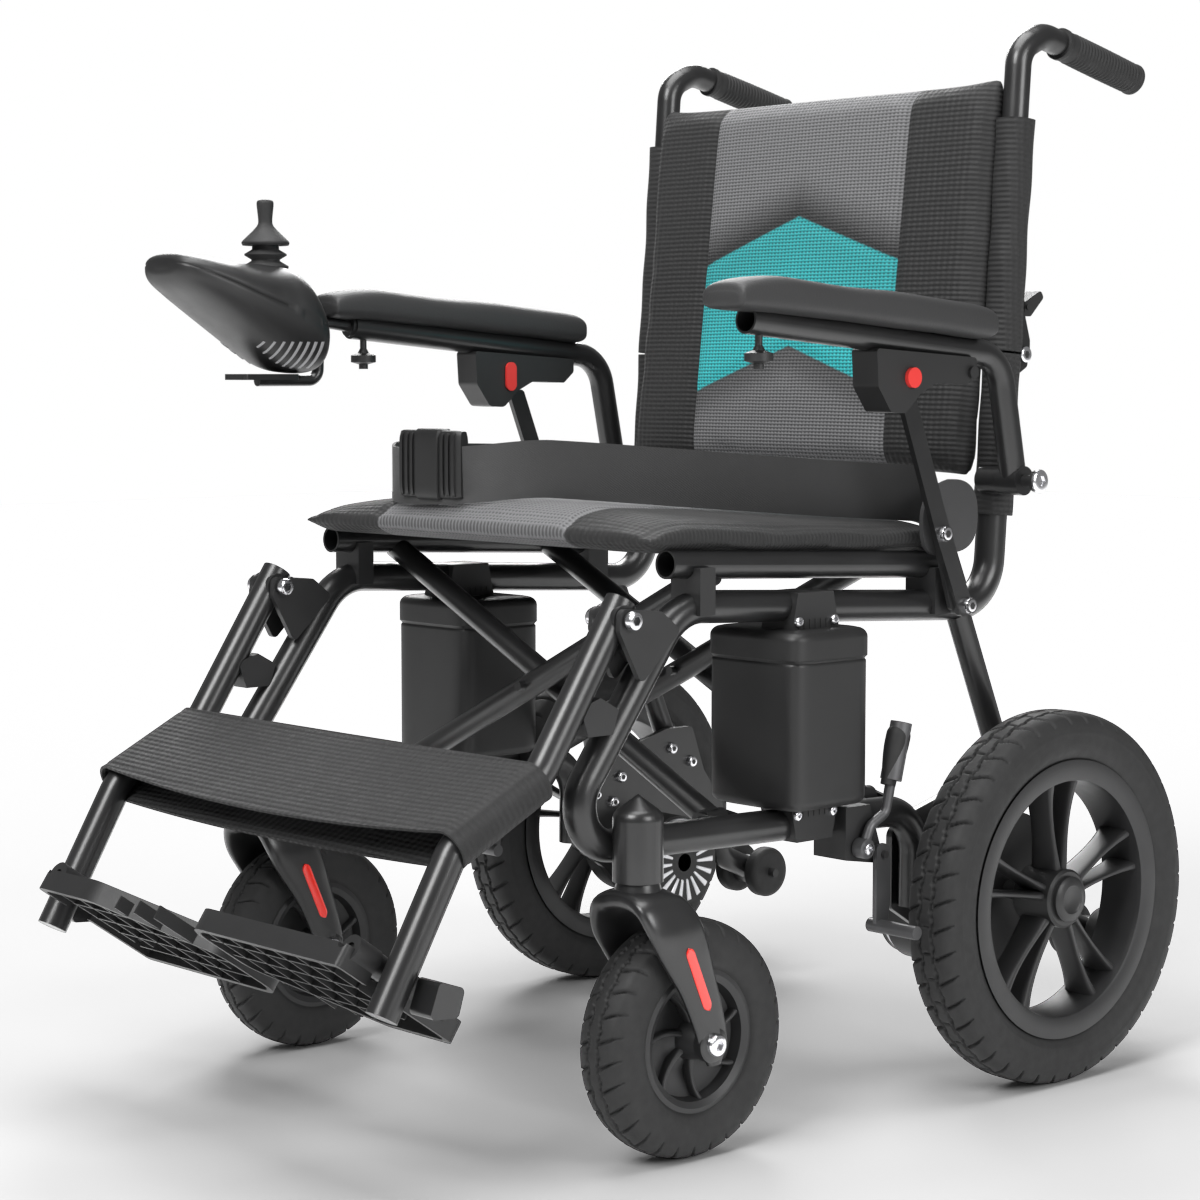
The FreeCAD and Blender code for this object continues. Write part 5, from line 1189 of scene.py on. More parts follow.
@dataclass
class Casters(Assembly):
    """The front wheels: smooth cast forks with reflectors, tyres and dished rims."""

    middle_x: float = 0.2380
    stem_y: float = -0.2450
    axle: tuple = (-0.2000, 0.0910)
    radius: float = 0.0907
    half_width: float = 0.0360

    def build(self) -> None:
        """Makes both casters."""
        for side in Side:
            self.fork(side)
            self.reflector(side)
            self.tyre(side)
            self.rim(side)

    def centre(self, side: Side) -> tuple:
        """The middle of a caster wheel."""
        return (side.value * self.middle_x, self.axle[0], self.axle[1])

    def fork(self, side: Side) -> None:
        """The fork: a rounded section carried over a U, and a stem spun from a profile.

        Half the U goes up one leg and in over the crown, and the other half mirrors it.
        """
        leg = self.half_width - 0.0040
        half = np.array([(leg, -0.1975, 0.0750), (leg, -0.1985, 0.0910), (leg, -0.2040, 0.1110),
                         (leg, -0.2150, 0.1390), (leg - 0.0002, -0.2270, 0.1640),
                         (leg - 0.0020, -0.2370, 0.1830), (leg - 0.0095, -0.2440, 0.1975),
                         (leg - 0.0210, -0.2450, 0.2020), (0.0, -0.2450, 0.2030)])
        whole = np.concatenate([half, (half * np.array([-1.0, 1.0, 1.0]))[::-1][1:]])
        size = np.array([(0.0060, 0.0034), (0.0135, 0.0040), (0.0155, 0.0042), (0.0180, 0.0046),
                         (0.0225, 0.0054), (0.0245, 0.0062),
                         (0.0235, 0.0072), (0.0215, 0.0080), (0.0210, 0.0082)])
        sizes = np.concatenate([size, size[::-1][1:]])
        path = curve(whole, 110)
        path[:, 0] += side.value * self.middle_x
        shell = Shell()
        shell.add(sweep(path, shaped(curve(sizes, 110), 2.8, 36), (0.0, 1.0, 0.0)))
        stem = np.array([(0.1990, 0.0), (0.1990, 0.0185), (0.2080, 0.0178), (0.2143, 0.0160),
                         (0.2146, 0.0100), (0.2600, 0.0100), (0.2600, 0.0)])
        shell.add(spin(stem, 64, (side.value * self.middle_x, self.stem_y, 0.0), "Z"), wrap_rows=True)
        x, y, z = self.centre(side)
        for end in (-1, 1):
            face = end * self.half_width
            boss = np.array([(face - end * 0.0080, 0.0), (face - end * 0.0080, 0.0140),
                             (face - end * 0.0012, 0.0140), (face, 0.0125), (face, 0.0)])
            shell.add(spin(boss, 48, (x, y, z)), wrap_rows=True)
        piece = shell.make(side.word + "_caster_fork_cast", 40.0)
        self.dress(piece, self.wardrobe.paint, side.word + "_fork", "frame_paint", side.word + "_caster_fork")

    def reflector(self, side: Side) -> None:
        """The reflector strips, one on the outer face of each leg."""
        start = np.array([-0.2065, 0.1180])
        end = np.array([-0.2290, 0.1680])
        share = np.linspace(0.0, 1.0, 30)[:, None]
        line = start + (end - start) * share
        ease = np.minimum(1.0, np.minimum(share, 1.0 - share) * 12.0) ** 0.5
        size = np.column_stack([0.0042 * ease[:, 0], np.full(30, 0.0012)])
        shell = Shell()
        for end_way in (-1, 1):
            x = side.value * self.middle_x + end_way * (self.half_width + 0.0001 + 0.0012 * share[:, 0])
            shell.add(sweep(np.column_stack([x, line]), shaped(size, 4.0, 24), (0.0, 1.0, 0.0)))
        piece = shell.make(side.word + "_reflector", 40.0)
        self.dress(piece, self.wardrobe.reflector, side.word + "_fork", "red_plastic")

    def tyre(self, side: Side) -> None:
        """The caster's tyre, with its tread cut in by place.

        The profile is one smooth half, mirrored, and carried round the axle. A zigzag ring and slanted
        cross cuts lower the radius by the groove's depth.
        """
        outline = np.array([(-0.0180, 0.0540), (-0.0210, 0.0580), (-0.0225, 0.0660), (-0.0222, 0.0745),
                            (-0.0205, 0.0820), (-0.0165, 0.0872),
                            (-0.0080, 0.0901), (0.0, 0.0907)])
        half = curve(outline, 40)
        profile = np.concatenate([half, (half * np.array([-1.0, 1.0]))[::-1][1:]])
        steps, blocks = 640, 30
        grid = spin(profile, steps, self.centre(side))
        share = np.linspace(0.0, blocks, steps, endpoint=False)[:, None]
        arc = 2.0 * np.pi * self.radius / blocks
        across = profile[None, :, 0]
        wave = np.abs((share % 1.0) - 0.5) * 2.0
        ring = np.exp(-((np.abs(across) - 0.0052 - 0.0028 * (wave - 0.5)) / 0.0009) ** 4)
        lean = share + 0.40 * np.sign(across) * (np.abs(across) - 0.006) / 0.015
        cut = np.exp(-(((lean % 1.0) - 0.5) * arc / 0.0011) ** 4)
        cut = cut * smooth_step(0.0050, 0.0064, np.abs(across)) * smooth_step(0.0225, 0.0205, np.abs(across))
        depth = 0.0024 * np.clip(ring + cut, 0.0, 1.0) * smooth_step(0.0770, 0.0830, profile[None, :, 1])
        flat = (grid - np.array(self.centre(side))) * np.array([0.0, 1.0, 1.0])
        grid = grid - flat / np.linalg.norm(flat, axis=-1, keepdims=True) * depth[..., None]
        shell = Shell()
        shell.add(grid, wrap_rows=True)
        piece = shell.make(side.word + "_caster_rubber", 45.0)
        self.dress(piece, self.wardrobe.tyre, side.word + "_caster", "tyre", side.word + "_caster_tyre")

    def rim(self, side: Side) -> None:
        """The caster's rim: a lipped ring, a dished web, ribs and a hub."""
        x, y, z = self.centre(side)
        w = 0.0186
        profile = np.array([(-w, 0.0548), (-w - 0.0008, 0.0510), (-w + 0.0015, 0.0462), (-0.0080, 0.0440),
                            (-0.0050, 0.0250), (-0.0090, 0.0160),
                            (-0.0262, 0.0128), (-0.0270, 0.0105), (-0.0270, 0.0052), (0.0270, 0.0052),
                            (0.0270, 0.0105), (0.0262, 0.0128),
                            (0.0090, 0.0160), (0.0050, 0.0250), (0.0080, 0.0440), (w - 0.0015, 0.0462),
                            (w + 0.0008, 0.0510), (w, 0.0548)])
        shell = Shell()
        shell.add(spin(profile, 120, (x, y, z)), wrap_rows=True)
        for face in (-1, 1):
            for rib in range(7):
                turn = 2.0 * math.pi * rib / 7.0
                reach = np.linspace(0.0130, 0.0465, 18)
                bend = turn + 0.35 * (reach - 0.013) / 0.0335
                path = np.column_stack([np.full(18, x + face * 0.0095), y + reach * np.cos(bend),
                                        z + reach * np.sin(bend)])
                full = spread(((0.0060, 0.0030), (0.0048, 0.0020), (0.0045, 0.0019), (0.0062, 0.0026)), 18)
                shell.add(sweep(path, shaped(full, 2.6, 20)))
        piece = shell.make(side.word + "_caster_dish", 35.0)
        self.dress(piece, self.wardrobe.rim, side.word + "_caster", "cast_rim", side.word + "_caster_rim")


@dataclass
class BatteryBoxes(Assembly):
    """The battery boxes hung between the rails, with a lid line and a ribbed foot."""

    middle_x: float = 0.1995
    half_width: float = 0.0515
    front_y: float = -0.0920
    rear_y: float = -0.0020
    foot_z: float = 0.2490
    top_z: float = 0.3895

    def build(self) -> None:
        """Makes both boxes.

        A box is a superellipse in x and y carried up z. Its size eases in at both ends, and drops in
        a narrow groove under the lid.
        """
        for side in Side:
            share = np.concatenate([np.linspace(0.0, 0.06, 10), np.linspace(0.07, 0.93, 90),
                                    np.linspace(0.94, 1.0, 10)])
            z = self.foot_z + (self.top_z - self.foot_z) * share
            reach = np.minimum(z - self.foot_z, self.top_z - z)
            inset = 0.0075 * (1.0 - np.sqrt(np.clip(1.0 - (1.0 - np.clip(reach / 0.0075, 0.0, 1.0)) ** 2,
                                                    0.0, 1.0)))
            inset += (0.0013 * np.exp(-((z - (self.top_z - 0.024)) / 0.0010) ** 4)
                      + 0.0009 * (z < self.top_z - 0.024))
            half_y = (self.rear_y - self.front_y) / 2
            ring = rounded(1.0, 1.0, 7.0, 96)
            x = side.value * self.middle_x + ring[None, :, 0] * (self.half_width - inset[:, None])
            y = (self.front_y + self.rear_y) / 2 + ring[None, :, 1] * (half_y - inset[:, None])
            shell = Shell()
            shell.add(np.stack([x, y, np.broadcast_to(z[:, None], x.shape)], axis=-1))
            piece = shell.make(side.word + "_battery_case", 40.0)
            self.dress(piece, self.wardrobe.case, side.word + "_frame", "black_plastic",
                       side.word + "_battery_box")
            self.ribs(side)

    def ribs(self, side: Side) -> None:
        """The clamp ribs over and under the box."""
        middle = (self.front_y + self.rear_y) / 2
        shell = Shell()
        for step in range(-3, 4):
            y = middle + step * 0.0062
            for z, reach in ((self.top_z - 0.0010, 0.0085), (self.foot_z + 0.0010, -0.0085)):
                low, high = sorted((z, z + reach))
                shell.box((side.value * 0.2120 - 0.0175, y - 0.0011, low),
                          (side.value * 0.2120 + 0.0175, y + 0.0011, high))
        piece = shell.make(side.word + "_clamp_ribs", 40.0)
        self.dress(piece, self.wardrobe.bracket, side.word + "_frame", "black_plastic")


@dataclass
class Controller(Assembly):
    """The joystick unit on the right arm: a moulded shell, a gaiter and the stick."""

    middle_x: float = -0.2450
    stick_y: float = -0.2320
    # y, top, bottom, half width
    stations: tuple = ((-0.3380, 0.6800, 0.6760, 0.0080), (-0.3365, 0.6850, 0.6690, 0.0240),
                       (-0.3300, 0.6880, 0.6600, 0.0350), (-0.3140, 0.6872, 0.6490, 0.0430),
                       (-0.2920, 0.6840, 0.6340, 0.0485), (-0.2700, 0.6808, 0.6180, 0.0508),
                       (-0.2500, 0.6790, 0.6030, 0.0516),
                       (-0.2360, 0.6780, 0.5945, 0.0518), (-0.2240, 0.6765, 0.5905, 0.0518),
                       (-0.2120, 0.6690, 0.5890, 0.0510),
                       (-0.2030, 0.6560, 0.5885, 0.0485), (-0.1960, 0.6400, 0.5900, 0.0430),
                       (-0.1925, 0.6270, 0.5960, 0.0300), (-0.1920, 0.6200, 0.6080, 0.0100))
    power: float = 2.7

    def build(self) -> None:
        """Makes the shell, its vents, the gaiter and the stick."""
        self.shell()
        self.vents()
        self.gaiter()
        self.stick()

    @staticmethod
    def parting_z(y: Array) -> Array:
        """The height of the line where the two halves of the shell meet, which falls towards the rear."""
        return 0.6805 - (y + 0.338) * 0.375

    def narrowing(self, y: Array, z: Array) -> Array:
        """How much narrower the shell is below its parting line.

        The factor is 1 - 0.30 t^2, where t is the share of the drop below the line.
        """
        drop = np.clip((self.parting_z(y) - z) / 0.045, 0.0, 1.0)
        return 1.0 - 0.30 * drop ** 2

    def shell(self) -> None:
        """The shell: superellipses in x and z carried from the nose to the rear.

        The lower half narrows downwards, a groove runs along the parting line, and a low mound rises
        under the stick.
        """
        line = spread(self.stations, 130)
        y, top, low, half = (line[:, [column]] for column in range(4))
        ring = rounded(1.0, 1.0, self.power, 140)
        z = (top + low) / 2 + ring[None, :, 1] * (top - low) / 2
        groove = np.exp(-((z - self.parting_z(y)) / 0.0009) ** 4)
        x = ring[None, :, 0] * (half - 0.0012 * groove) * self.narrowing(y, z)
        upper = smooth_step(0.0, 0.6, ring[None, :, 1])
        mound = 0.0035 * np.exp(-(x ** 2 + (y - self.stick_y) ** 2) / 0.030 ** 2) * upper
        shell = Shell()
        shell.add(np.stack([self.middle_x + x, np.broadcast_to(y, x.shape), z + mound - 0.0005], axis=-1))
        piece = shell.make("controller_shell", 50.0)
        self.dress(piece, self.wardrobe.pod, "controller", "black_plastic", "controller_pod")

    def vents(self) -> None:
        """The vent slots low on both flanks, laid on the shell's own surface."""
        shell = Shell()
        table = spread(self.stations, 400)
        for step in range(8):
            y = -0.2560 + step * 0.0070
            top, low, half = (float(np.interp(y, table[:, 0], table[:, column])) for column in (1, 2, 3))
            z = np.linspace(max(0.5930, low + 0.0030), 0.6150, 12)
            lean = np.full(12, y)
            rise = np.abs((z - (top + low) / 2) / ((top - low) / 2))
            flank = half * (1.0 - rise ** self.power) ** (1.0 / self.power) * self.narrowing(lean, z)
            for end in (-1, 1):
                path = np.column_stack([self.middle_x + end * (flank - 0.0003), lean, z])
                shell.add(sweep(path, rounded(0.0017, 0.0008, 4.0, 16), (0.0, 1.0, 0.0)))
        piece = shell.make("controller_vents", 40.0)
        self.dress(piece, self.wardrobe.vent, "controller", "black_plastic")

    def gaiter(self) -> None:
        """The rubber bellows: a profile of two sharp pleats and a neck, spun round the stick's axis."""
        profile = np.array([(0.6660, 0.0), (0.6660, 0.0170), (0.6735, 0.0150), (0.6780, 0.0195),
                            (0.6795, 0.0195), (0.6838, 0.0122), (0.6850, 0.0122),
                            (0.6885, 0.0180), (0.6898, 0.0180), (0.6935, 0.0116), (0.6960, 0.0114),
                            (0.6985, 0.0110), (0.6985, 0.0)])
        shell = Shell()
        shell.add(spin(profile, 96, (self.middle_x, self.stick_y, 0.0), "Z"), wrap_rows=True)
        piece = shell.make("stick_gaiter", 75.0)
        self.dress(piece, self.wardrobe.gaiter, "controller", "black_plastic")

    def stick(self) -> None:
        """The stick: a wide conical skirt and a slim knob that widens upwards, spun from one profile."""
        outline = curve([(0.6970, 0.0196), (0.6990, 0.0204), (0.7010, 0.0194), (0.7060, 0.0142),
                         (0.7110, 0.0092), (0.7145, 0.0066), (0.7180, 0.0060),
                         (0.7250, 0.0066), (0.7310, 0.0072), (0.7340, 0.0070), (0.7355, 0.0052),
                         (0.7360, 0.0002)], 110)
        profile = np.concatenate([[(0.6620, 0.0), (0.6620, 0.0056), (0.6975, 0.0056), (0.6985, 0.0175)],
                                  outline, [(0.7360, 0.0)]])
        shell = Shell()
        shell.add(spin(profile, 96, (self.middle_x, self.stick_y, 0.0), "Z"), wrap_rows=True)
        piece = shell.make("stick_knob", 60.0)
        self.dress(piece, self.wardrobe.gaiter, "stick", "black_plastic", "joystick")


@dataclass
class HandGrips(Assembly):
    """The push grips on the canes, and the grips of the brake levers."""

    cane_x: float = 0.2120
    crook: tuple = (0.2410, 0.8720)
    end: tuple = (0.3660, 0.8435)
    length: float = 0.1040
    brake_x: float = 0.2415

    def build(self) -> None:
        """Makes the grips on both sides."""
        for side in Side:
            self.push_grip(side)
            self.brake_grip(side)

    def push_grip(self, side: Side) -> None:
        """A push grip: a round section carried along the cane, with a flange, ribs and a domed end."""
        start, end = np.array(self.crook), np.array(self.end)
        ahead = (end - start) / np.linalg.norm(end - start)
        reach = np.linspace(-self.length, 0.0030, 170)
        share = (reach + self.length) / (self.length + 0.003)
        radius = (0.0128 + 0.0004 * np.sin(share * np.pi)
                  + 0.00045 * np.cos(reach * 2.0 * np.pi / 0.0042) * smooth_step(0.10, 0.14, share)
                  * smooth_step(0.94, 0.90, share))
        radius += 0.0009 * smooth_step(0.06, 0.03, share) + 0.0008 * smooth_step(0.93, 0.96, share)
        radius *= np.sqrt(np.clip(1.0 - np.clip((share - 0.975) / 0.026, 0.0, 1.0) ** 2, 0.02, 1.0))
        line = end[None] + ahead[None] * reach[:, None]
        path = np.column_stack([np.full(len(reach), side.value * self.cane_x), line])
        shell = Shell()
        shell.add(sweep(path, shaped(np.column_stack([radius, radius]), 2.0, 48)))
        piece = shell.make(side.word + "_push_grip", 50.0)
        self.dress(piece, self.wardrobe.grip, side.word + "_back", "grip", side.word + "_grip")

    def brake_grip(self, side: Side) -> None:
        """A brake grip: a teardrop section that fattens towards its top."""
        points = np.array([(0.0245, 0.2600), (0.0290, 0.2750), (0.0345, 0.2920), (0.0395, 0.3080)])
        line = curve(points, 40)
        share = np.linspace(0.0, 1.0, 40)
        swelling = 0.0058 + 0.0036 * smooth_step(0.0, 0.7, share)
        closing = np.clip((share - 0.80) / 0.201, 0.0, 1.0)
        size = swelling * np.sqrt(np.clip(1.0 - closing ** 2, 0.01, 1.0))
        path = np.column_stack([np.full(40, side.value * self.brake_x), line])
        shell = Shell()
        shell.add(sweep(path, shaped(np.column_stack([size * 0.9, size * 1.1]), 2.2, 36)))
        piece = shell.make(side.word + "_brake_grip", 60.0)
        self.dress(piece, self.wardrobe.grip, side.word + "_brake", "grip")


@dataclass
class MotorCaps(Assembly):
    """The bare alloy end caps of the motors, with fins."""

    face_x: float = 0.1505
    centre: tuple = (0.1660, 0.1300)
    radius: float = 0.0405
    fins: int = 18

    def build(self) -> None:
        """Makes both caps: a disc whose depth rises on radial fins, from half of its radius outwards."""
        for side in Side:
            reach = np.concatenate([[0.0001], np.linspace(0.004, self.radius, 26)])
            angle = np.linspace(0.0, 2.0 * np.pi, 18 * 12, endpoint=False)
            fin = smooth_step(0.35, 0.65, 0.5 + 0.5 * np.cos(angle * self.fins))
            zone = smooth_step(0.014, 0.017, reach) * smooth_step(0.0385, 0.0365, reach)
            rounding = smooth_step(0.0385, self.radius, reach)[:, None]
            depth = 0.0080 + 0.0028 * zone[:, None] * fin[None, :] - 0.0030 * rounding
            depth += 0.0020 * smooth_step(0.0110, 0.0095, reach)[:, None]
            x = side.value * (self.face_x - depth)
            y = self.centre[0] + reach[:, None] * np.cos(angle)[None, :]
            z = self.centre[1] + reach[:, None] * np.sin(angle)[None, :]
            back = np.stack([np.full(len(angle), side.value * self.face_x), y[-1], z[-1]], axis=-1)[None]
            shell = Shell()
            shell.add(np.concatenate([np.stack([x, y, z], axis=-1), back]))
            piece = shell.make(side.word + "_motor_cap", 35.0)
            self.dress(piece, self.wardrobe.alloy, side.word + "_frame", "motor")


@dataclass
class FootplateTreads(Assembly):
    """The raised grip bars on the footplates, and the lattice of ribs beneath."""

    hinge: tuple = (-0.4520, 0.1630)
    tilt: float = 35.0
    deck: float = 0.0035
    band: float = 0.0085

    def build(self) -> None:
        """Makes the bars and ribs in the plate's own plane, then turns them by the plate's tilt."""
        for side in Side:
            shell = Shell()
            for step in range(15):
                v = -0.0330 + step * 0.0075
                inner, outer = self.span(side, v)
                self.bar(shell, side, inner, outer, v, 0.0012, self.deck - 0.0010, self.deck + 0.0016)
            piece = shell.make(side.word + "_foot_grip", 40.0)
            self.dress(piece, self.wardrobe.bracket, side.word + "_foot", "black_plastic")
            ribs = Shell()
            for step in range(4):
                v = -0.0220 + step * 0.0250
                inner, outer = self.span(side, v)
                self.bar(ribs, side, inner, outer, v, 0.0010, -self.band + 0.0005, self.deck - 0.0008)
            for step in range(6):
                u = 0.0350 + step * 0.0270
                low, high = (-0.0400, 0.0780) if 0.035 < u < 0.12 else (-0.040, 0.045)
                self.rib(ribs, side, u, low, high)
            piece = ribs.make(side.word + "_foot_ribs", 40.0)
            self.dress(piece, self.wardrobe.bracket, side.word + "_foot", "black_plastic")

    @staticmethod
    def span(side: Side, v: float) -> tuple:
        """Where a bar starts and ends across the plate, inside its slanted corner."""
        slant = np.clip((v - 0.022) / 0.062, 0.0,
                        1.0) if side is Side.LEFT else np.clip((0.014 - v) / 0.058, 0.0, 1.0)
        inner = 0.0190 + float(slant) * 0.105
        clear = 0.1730 if abs(v - 0.0) < 0.058 else 0.1900
        return inner, clear

    def bar(self, shell: Shell, side: Side, inner: float, outer: float, v: float, half: float, low: float,
            high: float) -> None:
        """Adds one bar across the plate."""
        ring = np.array([(v - half, low), (v + half, low), (v + half, high), (v - half, high)])
        grid = np.stack([self.turned(side, u, ring) for u in (inner, outer)])
        shell.add(grid)

    def rib(self, shell: Shell, side: Side, u: float, low: float, high: float) -> None:
        """Adds one rib along the plate's depth."""
        ring = np.array([(low, -self.band + 0.0005), (high, -self.band + 0.0005),
                         (high, self.deck - 0.0008), (low, self.deck - 0.0008)])
        shell.add(np.stack([self.turned(side, u + step, ring) for step in (-0.0010, 0.0010)]))

    def turned(self, side: Side, u: float, ring: Array) -> Array:
        """Points of the plate's plane, turned about its hinge line by its tilt."""
        angle = math.radians(self.tilt)
        y = self.hinge[0] + ring[:, 0] * math.cos(angle) + ring[:, 1] * math.sin(angle)
        z = self.hinge[1] - ring[:, 0] * math.sin(angle) + ring[:, 1] * math.cos(angle)
        return np.column_stack([np.full(len(ring), side.value * u), y, z])


@dataclass
class Bolts(Assembly):
    """The bright cap screws that show: a domed head with a hexagon socket."""

    def build(self) -> None:
        """Makes one piece of bolts for each body that carries some."""
        for side in Side:
            frame_bolts = ((0.2425, 0.0880, 0.4590, 0.0066, 0.0052, 1),
                           (0.2425, 0.1190, 0.3990, 0.0066, 0.0052, 1),
                           (0.2717, 0.1720, 0.5000, 0.0096, 0.0030, 1),
                           (0.2251, 0.2095, 0.6040, 0.0066, 0.0022, 1),
                           (0.1989, 0.2095, 0.6040, 0.0066, 0.0022, -1),
                           (0.2370, -0.2500, 0.4080, 0.0072, 0.0052, 1),
                           (0.1970, -0.2500, 0.4080, 0.0072, 0.0052, -1),
                           (0.1935, 0.1326, 0.2090, 0.0055, 0.0045, -1),
                           (0.1935, 0.1226, 0.1860, 0.0055, 0.0045, -1),
                           (0.1935, 0.1986, 0.2300, 0.0055, 0.0045, -1),
                           (0.1935, 0.2246, 0.2150, 0.0055, 0.0045, -1),
                           (0.1935, 0.1006, 0.1950, 0.0055, 0.0045, -1),
                           (0.2290, -0.0670, 0.3955, 0.0042, 0.0030, 1),
                           (0.2290, -0.0270, 0.3955, 0.0042, 0.0030, 1),
                           (0.2290, -0.0670, 0.2435, 0.0042, 0.0030, 1),
                           (0.2290, -0.0270, 0.2435, 0.0042, 0.0030, 1))
            self.group(side, side.word + "_frame_screws", side.word + "_frame", frame_bolts)
            fork = tuple((0.2380 + end * 0.0360, -0.2000, 0.0910, 0.0085, 0.0050, end) for end in (-1, 1))
            self.group(side, side.word + "_fork_screws", side.word + "_fork", fork)
            self.group(side, side.word + "_brake_screws", side.word + "_brake",
                       ((0.2467, -0.0040, 0.2120, 0.0048, 0.0030, 1),))

    def group(self, side: Side, name: str, body: str, bolts: tuple) -> None:
        """Makes one piece from a list of bolts.

        Args:
            side: The side, which mirrors x and the way they face.
            name: The piece's name.
            body: The body that carries them.
            bolts: For each, the x, y and z of its seat, its radius, its height and the way it faces.
        """
        shell = Shell()
        for x, y, z, radius, height, way in bolts:
            self.head(shell, (side.value * x, y, z), radius, height, side.value * way)
        piece = shell.make(name, 35.0)
        self.dress(piece, self.wardrobe.chrome, body, "motor")

    @staticmethod
    def head(shell: Shell, seat: tuple, radius: float, height: float, way: int) -> None:
        """Adds one head: rings from the seat out over a dome, then in and down a six-sided socket."""
        angle = np.linspace(0.0, 2.0 * np.pi, 36, endpoint=False)
        hexagon = np.cos(np.pi / 6) / np.cos((angle % (np.pi / 3)) - np.pi / 6)
        rings = ((1.0, 0.0, 0.0), (1.0, 0.55, 0.0), (0.90, 0.85, 0.0), (0.70, 1.0, 0.0), (0.50, 1.0, 1.0),
                 (0.48, 0.45, 1.0))
        rows = []
        for share, rise, six in rings:
            reach = radius * share * (1.0 + six * (hexagon - 1.0))
            rows.append(np.column_stack([np.full(36, seat[0] + way * height * rise),
                                         seat[1] + reach * np.cos(angle), seat[2] + reach * np.sin(angle)]))
        shell.add(np.stack(rows))


@dataclass
class Carried(Assembly):
    """The CAD parts that keep their own shape, and the finish that each gets."""

    def build(self) -> None:
        """Puts a finish on every CAD node that no piece stands for."""
        w = self.wardrobe
        finishes = {"side_frame": w.paint, "axle_plate": w.paint, "frame_fittings": w.bracket,
                    "drive_motor": w.case,
                    "arm_strut": w.paint, "antitip_wheels": w.tyre, "brake_lever": w.steel,
                    "brake_shoe": w.steel,
                    "back_cane": w.paint, "back_latch": w.bracket, "arm_tube": w.paint, "arm_lock": w.bracket,
                    "arm_button": w.red, "clamp_knob": w.bracket, "legrest_hanger": w.paint,
                    "footplate": w.bracket,
                    "cross_frame_left_seat": w.paint, "cross_frame_right_seat": w.paint,
                    "controller_arm": w.paint,
                    "stick_gimbal": w.bracket, "power_button": w.red}
        for name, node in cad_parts.items():
            kind = name.removeprefix("left_").removeprefix("right_")
            finish = finishes.get(name) or finishes.get(kind)
            if finish is None:
                continue
            if not node.material_slots:
                node.data.materials.append(finish)
            for slot in node.material_slots:
                slot.link = "OBJECT"
                slot.material = finish
            LOG.info("%s keeps its shape", name)


# ---------------------------------------------------------------- studio


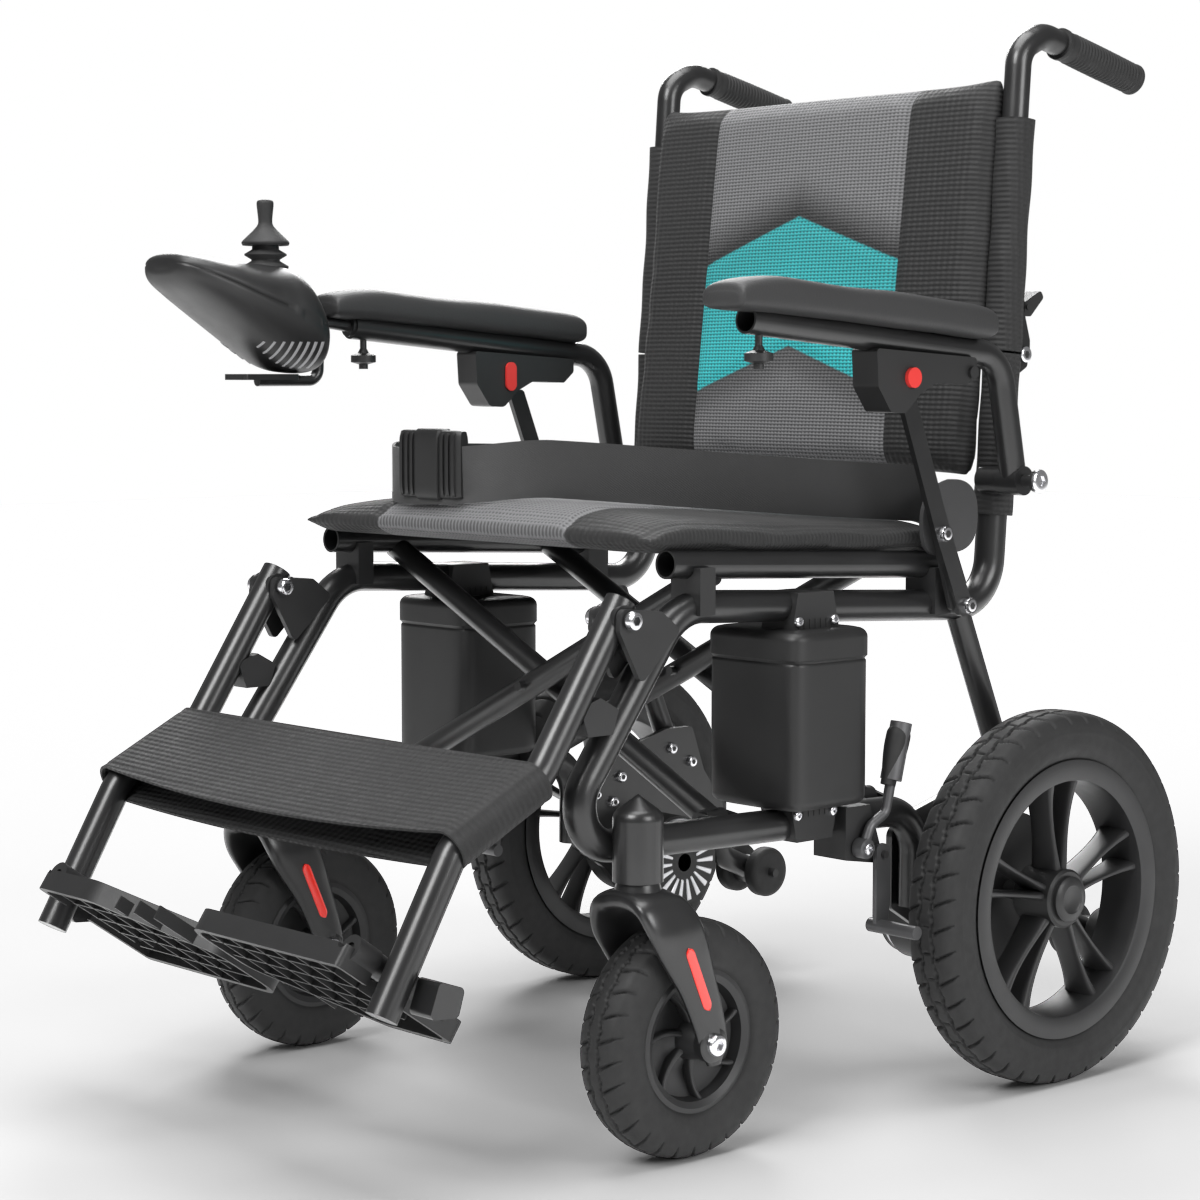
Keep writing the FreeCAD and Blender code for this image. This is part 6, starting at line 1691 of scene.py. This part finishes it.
@dataclass
class Studio:
    """A pale floor, soft lights and the camera."""

    azimuth: float = 47.92
    elevation: float = 4.71
    eye: tuple = (1.740, -1.639, 0.592)
    lens: float = 84.2
    sky: float = 0.22
    lamps: list = field(default_factory=lambda: [("key", (0.6, -2.8, 2.8), 1.6, 120.0),
                                                 ("fill", (2.9, 0.2, 1.5), 1.4, 50.0),
                                                 ("rim", (-2.4, 1.8, 2.4), 1.6, 90.0),
                                                 ("top", (0.0, -0.2, 3.2), 2.4, 110.0)])

    def build(self) -> None:
        """Makes the floor, the lights, the sky and the camera."""
        self.floor()
        for name, place, size, power in self.lamps:
            self.lamp(name, place, size, power)
        world = bpy.data.worlds.new("studio")
        world.use_nodes = True
        tree = world.node_tree
        soft = tree.nodes["Background"]
        soft.inputs[0].default_value = (1.0, 1.0, 1.0, 1.0)
        soft.inputs[1].default_value = self.sky
        white = tree.nodes.new("ShaderNodeBackground")
        white.inputs[0].default_value = (1.0, 1.0, 1.0, 1.0)
        ray, mix = tree.nodes.new("ShaderNodeLightPath"), tree.nodes.new("ShaderNodeMixShader")
        tree.links.new(ray.outputs["Is Camera Ray"], mix.inputs[0])
        tree.links.new(soft.outputs[0], mix.inputs[1])
        tree.links.new(white.outputs[0], mix.inputs[2])
        tree.links.new(mix.outputs[0], tree.nodes["World Output"].inputs[0])
        bpy.context.scene.world = world
        bpy.context.scene.view_settings.view_transform = "Standard"
        self.camera()

    def floor(self) -> None:
        """The floor: one wide sheet just under the wheels."""
        reach = 9.0
        piece = mesh_object("floor",
                            np.array([(-reach, -reach, 0.0), (reach, -reach, 0.0), (reach, reach, 0.0),
                                      (-reach, reach, 0.0)]), [(0, 1, 2, 3)])
        finish = Coat("pale floor", (0.9, 0.9, 0.9, 1.0), (0.88, 0.88, 0.88, 1.0), 0.6, 0.7, 200.0,
                      0.00001).build()
        piece.is_shadow_catcher = True
        piece.data.materials.append(finish)

    @staticmethod
    def lamp(name: str, place: tuple, size: float, power: float) -> None:
        """Adds one square lamp that looks at the middle of the chair."""
        data = bpy.data.lights.new(name, "AREA")
        data.shape = "SQUARE"
        data.size = size
        data.energy = power
        lamp = bpy.data.objects.new(name, data)
        lamp.location = place
        lamp.rotation_euler = (Vector((0.0, 0.0, 0.4)) - Vector(place)).to_track_quat("-Z", "Y").to_euler()
        bpy.context.scene.collection.objects.link(lamp)

    def camera(self) -> None:
        """Adds the camera at its angle."""
        data = bpy.data.cameras.new("camera")
        data.lens = self.lens
        data.sensor_width = 36.0
        data.clip_end = 60.0
        camera = bpy.data.objects.new("camera", data)
        camera.location = placed(np.array(self.eye))
        turn, rise = math.radians(self.azimuth), math.radians(self.elevation)
        look = Vector((-math.sin(turn) * math.cos(rise), math.cos(turn) * math.cos(rise), -math.sin(rise)))
        camera.rotation_euler = look.to_track_quat("-Z", "Y").to_euler()
        bpy.context.scene.collection.objects.link(camera)
        bpy.context.scene.camera = camera


def main() -> None:
    """Builds every sub-assembly in order, then the studio."""
    logging.basicConfig(level=logging.INFO, format="%(name)s: %(message)s")
    wardrobe = Wardrobe()
    for kind in (Carried, DriveWheels, Casters, BatteryBoxes, MotorCaps, FootplateTreads, ArmPads,
                 Controller, HandGrips, Bolts,
                 CalfStrap, Seat, Backrest):
        kind(wardrobe).build()
        LOG.info("%s done", kind.__name__)
    Studio().build()


if __name__ == "__main__":
    main()
